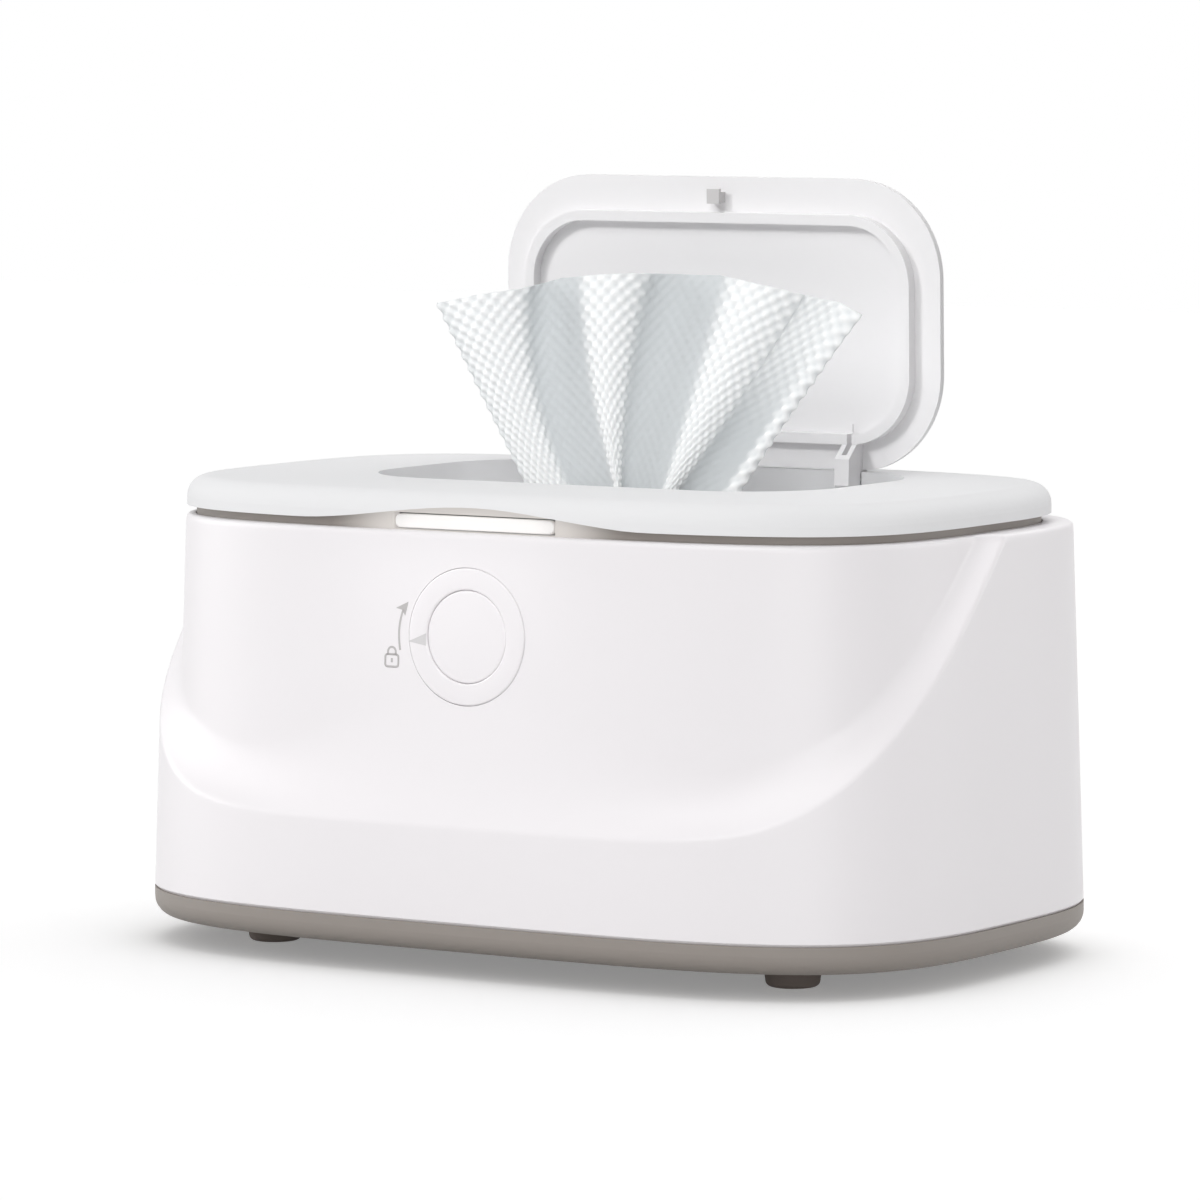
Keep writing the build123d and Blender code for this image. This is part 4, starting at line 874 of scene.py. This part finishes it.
# ---- printed marks ----------------------------------------------------------------------------
@dataclass
class Marks:
    """Pale printed marks beside and on the lock dial: a padlock, an arrow and a pointer."""

    casing: Casing
    ink: float = 0.05
    line: float = 0.5
    dial_proud: float = 0.3
    # every place below is (x, z) on the front panel
    lock: tuple[float, float] = (-20.8, 72.75)
    lock_half: tuple[float, float] = (1.85, 1.45)
    lock_power: float = 0.35
    shackle: tuple[float, float] = (1.1, 1.15)
    shackle_z: float = 74.75
    shackle_foot_z: float = 74.1
    keyhole_z: tuple[float, ...] = (73.3, 72.8, 72.3)
    keyhole_line: float = 0.55
    arrow_bow: tuple[tuple[float, float], ...] = ((-18.46, 75.3), (-19.55, 80.6), (-17.7, 84.9))
    arrow_head: tuple[tuple[float, float], ...] = (
        (-16.35, 86.7),
        (-19.8, 85.1),
        (-18.1, 84.75),
        (-17.2, 83.4),
    )
    pointer: tuple[tuple[float, float], ...] = ((-11.1, 76.7), (-16.0, 77.5), (-11.1, 79.6))

    def lay(self, outline: np.ndarray, lift: float) -> np.ndarray:
        """Put points (x, z) on the front panel, lift millimetres in front of it."""
        x, z = outline[..., 0], outline[..., 1]
        return np.stack([x, self.casing.skin(x, z) - lift, z], -1)

    def area(
        self, name: str, outline: tuple[tuple[float, float], ...], lift: float
    ) -> bpy.types.Object:
        """Filled mark: an outline, its sides subdivided, with a thin raised edge."""
        corners = np.array(outline + outline[:1])
        at = np.linspace(0, len(outline), len(outline) * 12, endpoint=False)
        shape = np.stack([np.interp(at, np.arange(len(corners)), corners[:, i]) for i in (0, 1)], -1)
        rings = [self.lay(shape, lift), self.lay(shape, lift + self.ink)]
        return solid_from_rings(name, np.array(rings))

    def stroke(self, name: str, path: np.ndarray, closed: bool, width: float) -> bpy.types.Object:
        """Drawn line: a flat strip of even width whose middle follows the path."""
        after, before = np.roll(path, -1, 0), np.roll(path, 1, 0)
        if not closed:
            after[-1], before[0] = path[-1], path[0]
        run = after - before
        run /= np.linalg.norm(run, axis=1, keepdims=True)
        side = np.stack([-run[:, 1], run[:, 0]], -1) * width / 2
        corners = [self.lay(path + side, 0), self.lay(path + side, self.ink)]
        corners += [self.lay(path - side, self.ink), self.lay(path - side, 0)]
        rings = np.stack(corners, 1)
        if not closed:
            return solid_from_rings(name, rings)
        made = grid_object(name, rings, wrap_rows=True, wrap_columns=True)
        face_outwards(made.data)
        return made

    def build(self, paint: Paintbox) -> None:
        """Make the padlock, its shackle and keyhole, the arrow and the dial's pointer."""
        turn = np.linspace(0, 2 * np.pi, 72, endpoint=False)
        c, s = np.cos(turn), np.sin(turn)
        x, z = self.lock
        half_x, half_z = self.lock_half
        power = self.lock_power
        body = np.stack([np.sign(c) * np.abs(c) ** power, np.sign(s) * np.abs(s) ** power], -1)
        pieces = [self.stroke("padlock_body", body * (half_x, half_z) + (x, z), True, self.line)]
        arch = np.linspace(math.pi, 0, 20)
        wide, high = self.shackle
        bow = np.stack([x + wide * np.cos(arch), self.shackle_z + high * np.sin(arch)], -1)
        left, right = ([[x + side * wide, self.shackle_foot_z]] for side in (-1, 1))
        bow = np.concatenate([left, bow, right])
        pieces.append(self.stroke("padlock_shackle", bow, False, self.line))
        keyhole = np.array([(x, level) for level in self.keyhole_z])
        pieces.append(self.stroke("padlock_keyhole", keyhole, False, self.keyhole_line))
        t = np.linspace(0, 1, 24)[:, None]
        ends = np.array(self.arrow_bow)
        stem = (1 - t) ** 2 * ends[0] + 2 * t * (1 - t) * ends[1] + t**2 * ends[2]
        pieces.append(self.stroke("arrow_stem", stem, False, self.line))
        pieces.append(self.area("arrow_head", self.arrow_head, 0))
        for piece in pieces:
            finish_piece(piece, paint, "housing", "print")
        pointer = self.area("dial_pointer", self.pointer, self.dial_proud)
        finish_piece(pointer, paint, "dial", "pale_print")


# ---- studio -----------------------------------------------------------------------------------
@dataclass
class Studio:
    """Camera, lamps, world and a pale floor."""

    eye: tuple[float, float, float] = (0.8596, -1.3737, 0.2273)
    pitch_deg: float = 84.91
    yaw_deg: float = 32.17
    lens: float = 203.2

    def camera(self) -> None:
        """Place the camera and make it the scene's own."""
        data = bpy.data.cameras.new("camera")
        data.lens = self.lens
        data.sensor_width = 36.0
        data.clip_end = 20.0
        eye = bpy.data.objects.new("camera", data)
        eye.location = self.eye
        eye.rotation_euler = (math.radians(self.pitch_deg), 0, math.radians(self.yaw_deg))
        bpy.context.collection.objects.link(eye)
        bpy.context.scene.camera = eye

    def sun(
        self,
        name: str,
        toward: tuple[float, float, float],
        level: float,
        spread_deg: float,
        only: tuple[str, ...] = (),
        never: tuple[str, ...] = ("floor",),
        own_shadow: bool = False,
    ) -> None:
        """Add one distant soft light, so that the floor is lit evenly however far it runs.

        Args:
            name: lamp name.
            toward: direction from the object to the light.
            level: light on a white surface that faces it, where 1 is white.
            spread_deg: angle that the light covers, which sets how soft its shadow is.
            only: names of the only objects that it lights, or empty for all but never.
            never: names of the objects that it passes over.
            own_shadow: whether only the objects in only cast its shadow.
        """
        data = bpy.data.lights.new(name, "SUN")
        data.energy = level * math.pi
        data.angle = math.radians(spread_deg)
        lamp = bpy.data.objects.new(name, data)
        picked = bpy.data.collections.new(f"picked by {name}")
        for piece in only or never:
            picked.objects.link(bpy.data.objects[piece])
        for entry in picked.collection_objects:
            entry.light_linking.link_state = "INCLUDE" if only else "EXCLUDE"
        lamp.light_linking.receiver_collection = picked
        if own_shadow:
            lamp.light_linking.blocker_collection = picked
        x, y, z = toward
        lamp.rotation_euler = (math.atan2(math.hypot(x, y), z), 0, math.atan2(y, x) + math.pi / 2)
        bpy.context.collection.objects.link(lamp)

    def bar_glow(self, power: float) -> None:
        """Light that the lit bar throws down the front panel, as a small lamp in front of it."""
        data = bpy.data.lights.new("bar glow", "AREA")
        data.shape = "RECTANGLE"
        data.size = 0.05
        data.size_y = 0.008
        data.spread = math.radians(110)
        data.energy = power
        lamp = bpy.data.objects.new("bar glow", data)
        lamp.location = (-0.006, -0.09, 0.108)
        lamp.rotation_euler = (math.radians(35), 0, 0)
        lamp.visible_camera = False
        lamp.visible_glossy = False
        bpy.context.collection.objects.link(lamp)

    def seen_rays(self, tree: bpy.types.NodeTree) -> bpy.types.NodeSocket:
        """Socket that is 1 for camera, glossy and transmission rays and 0 for the rest."""
        path = add_node(tree, "ShaderNodeLightPath")
        first = add_node(tree, "ShaderNodeMath", {"operation": "MAXIMUM"})
        tree.links.new(path.outputs["Is Camera Ray"], first.inputs[0])
        tree.links.new(path.outputs["Is Glossy Ray"], first.inputs[1])
        both = add_node(tree, "ShaderNodeMath", {"operation": "MAXIMUM"})
        tree.links.new(first.outputs[0], both.inputs[0])
        tree.links.new(path.outputs["Is Transmission Ray"], both.inputs[1])
        return both.outputs[0]

    def world(self, level: float) -> None:
        """White where it is seen, and a plain grey light on the object."""
        world = bpy.data.worlds.new("world")
        world.use_nodes = True
        tree = world.node_tree
        tree.nodes.clear()
        seen = add_node(tree, "ShaderNodeBackground", Color=(1, 1, 1, 1), Strength=1.0)
        felt = add_node(tree, "ShaderNodeBackground", Color=(1, 1, 1, 1), Strength=level)
        mix = add_node(tree, "ShaderNodeMixShader", links={"Fac": self.seen_rays(tree)})
        tree.links.new(felt.outputs[0], mix.inputs[1])
        tree.links.new(seen.outputs[0], mix.inputs[2])
        add_node(tree, "ShaderNodeOutputWorld", links={"Surface": mix.outputs[0]})
        bpy.context.scene.world = world

    def floor(self, lift: float) -> None:
        """Pale floor that keeps the object's shadow; lift is its own white for seen rays."""
        side = np.linspace(-3000, 3000, 3)
        x, y = np.meshgrid(side, side)
        floor = grid_object("floor", np.stack([x, y, 0 * x], -1))
        made = bpy.data.materials.new("floor paint")
        made.use_nodes = True
        tree = made.node_tree
        tree.nodes.clear()
        matt = add_node(tree, "ShaderNodeBsdfDiffuse", Color=(0.9, 0.9, 0.9, 1))
        glow = add_node(tree, "ShaderNodeEmission", Color=(1, 1, 1, 1), Strength=lift)
        both = add_node(tree, "ShaderNodeAddShader")
        tree.links.new(matt.outputs[0], both.inputs[0])
        tree.links.new(glow.outputs[0], both.inputs[1])
        mix = add_node(tree, "ShaderNodeMixShader", links={"Fac": self.seen_rays(tree)})
        tree.links.new(matt.outputs[0], mix.inputs[1])
        tree.links.new(both.outputs[0], mix.inputs[2])
        add_node(tree, "ShaderNodeOutputMaterial", links={"Surface": mix.outputs[0]})
        floor.data.materials.append(made)

    def build(self) -> None:
        """Set up everything round the object."""
        self.camera()
        self.world(0.14)
        self.floor(0.24)
        opened = ("flip_lid", "latch_hook")
        unlit = ("floor",) + opened
        self.sun("left window", (-1.0, -0.3, 0.25), 0.34, 40.0, never=unlit)
        self.sun("front box", (0.0, -0.75, 0.65), 0.32, 40.0)
        self.sun("front right box", (0.55, -0.85, 0.2), 0.3, 40.0, never=unlit)
        self.sun("overhead", (0.0, 0.05, 1.0), 0.27, 60.0)
        self.sun("back top", (0.1, 0.7, 0.7), 0.19, 40.0)
        self.sun("back right", (0.9, 0.8, 0.2), 0.22, 40.0, never=unlit)
        self.sun("flip lid key", (-0.62, -1.0, 0.62), 0.36, 12.0, only=opened, own_shadow=True)
        self.sun("wipe fill", (-0.3, -1.0, 0.4), 0.09, 60.0, only=("drawn_wipe",), own_shadow=True)
        self.sun("floor dome", (0.0, 0.0, 1.0), 0.4, 170.0, only=("floor",))
        self.sun("floor top", (0.0, 0.35, 1.0), 0.34, 70.0, only=("floor",))
        self.bar_glow(0.0008)
        bpy.context.scene.view_settings.view_transform = "Standard"


def main() -> None:
    """Load the frame, build each sub-assembly and report it."""
    logging.basicConfig(level=logging.INFO, format="%(name)s: %(message)s")
    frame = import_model()
    paint = Paintbox()
    paint.dress_frame(frame)
    casing = Casing()
    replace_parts(casing.build(paint), "outer_housing")
    Dial(casing).build(paint)
    Marks(casing).build(paint)
    DrawnWipe().build(paint)
    WipePile().build(paint)
    Studio().build()
    LOG.info("done")


if __name__ == "__main__":
    main()
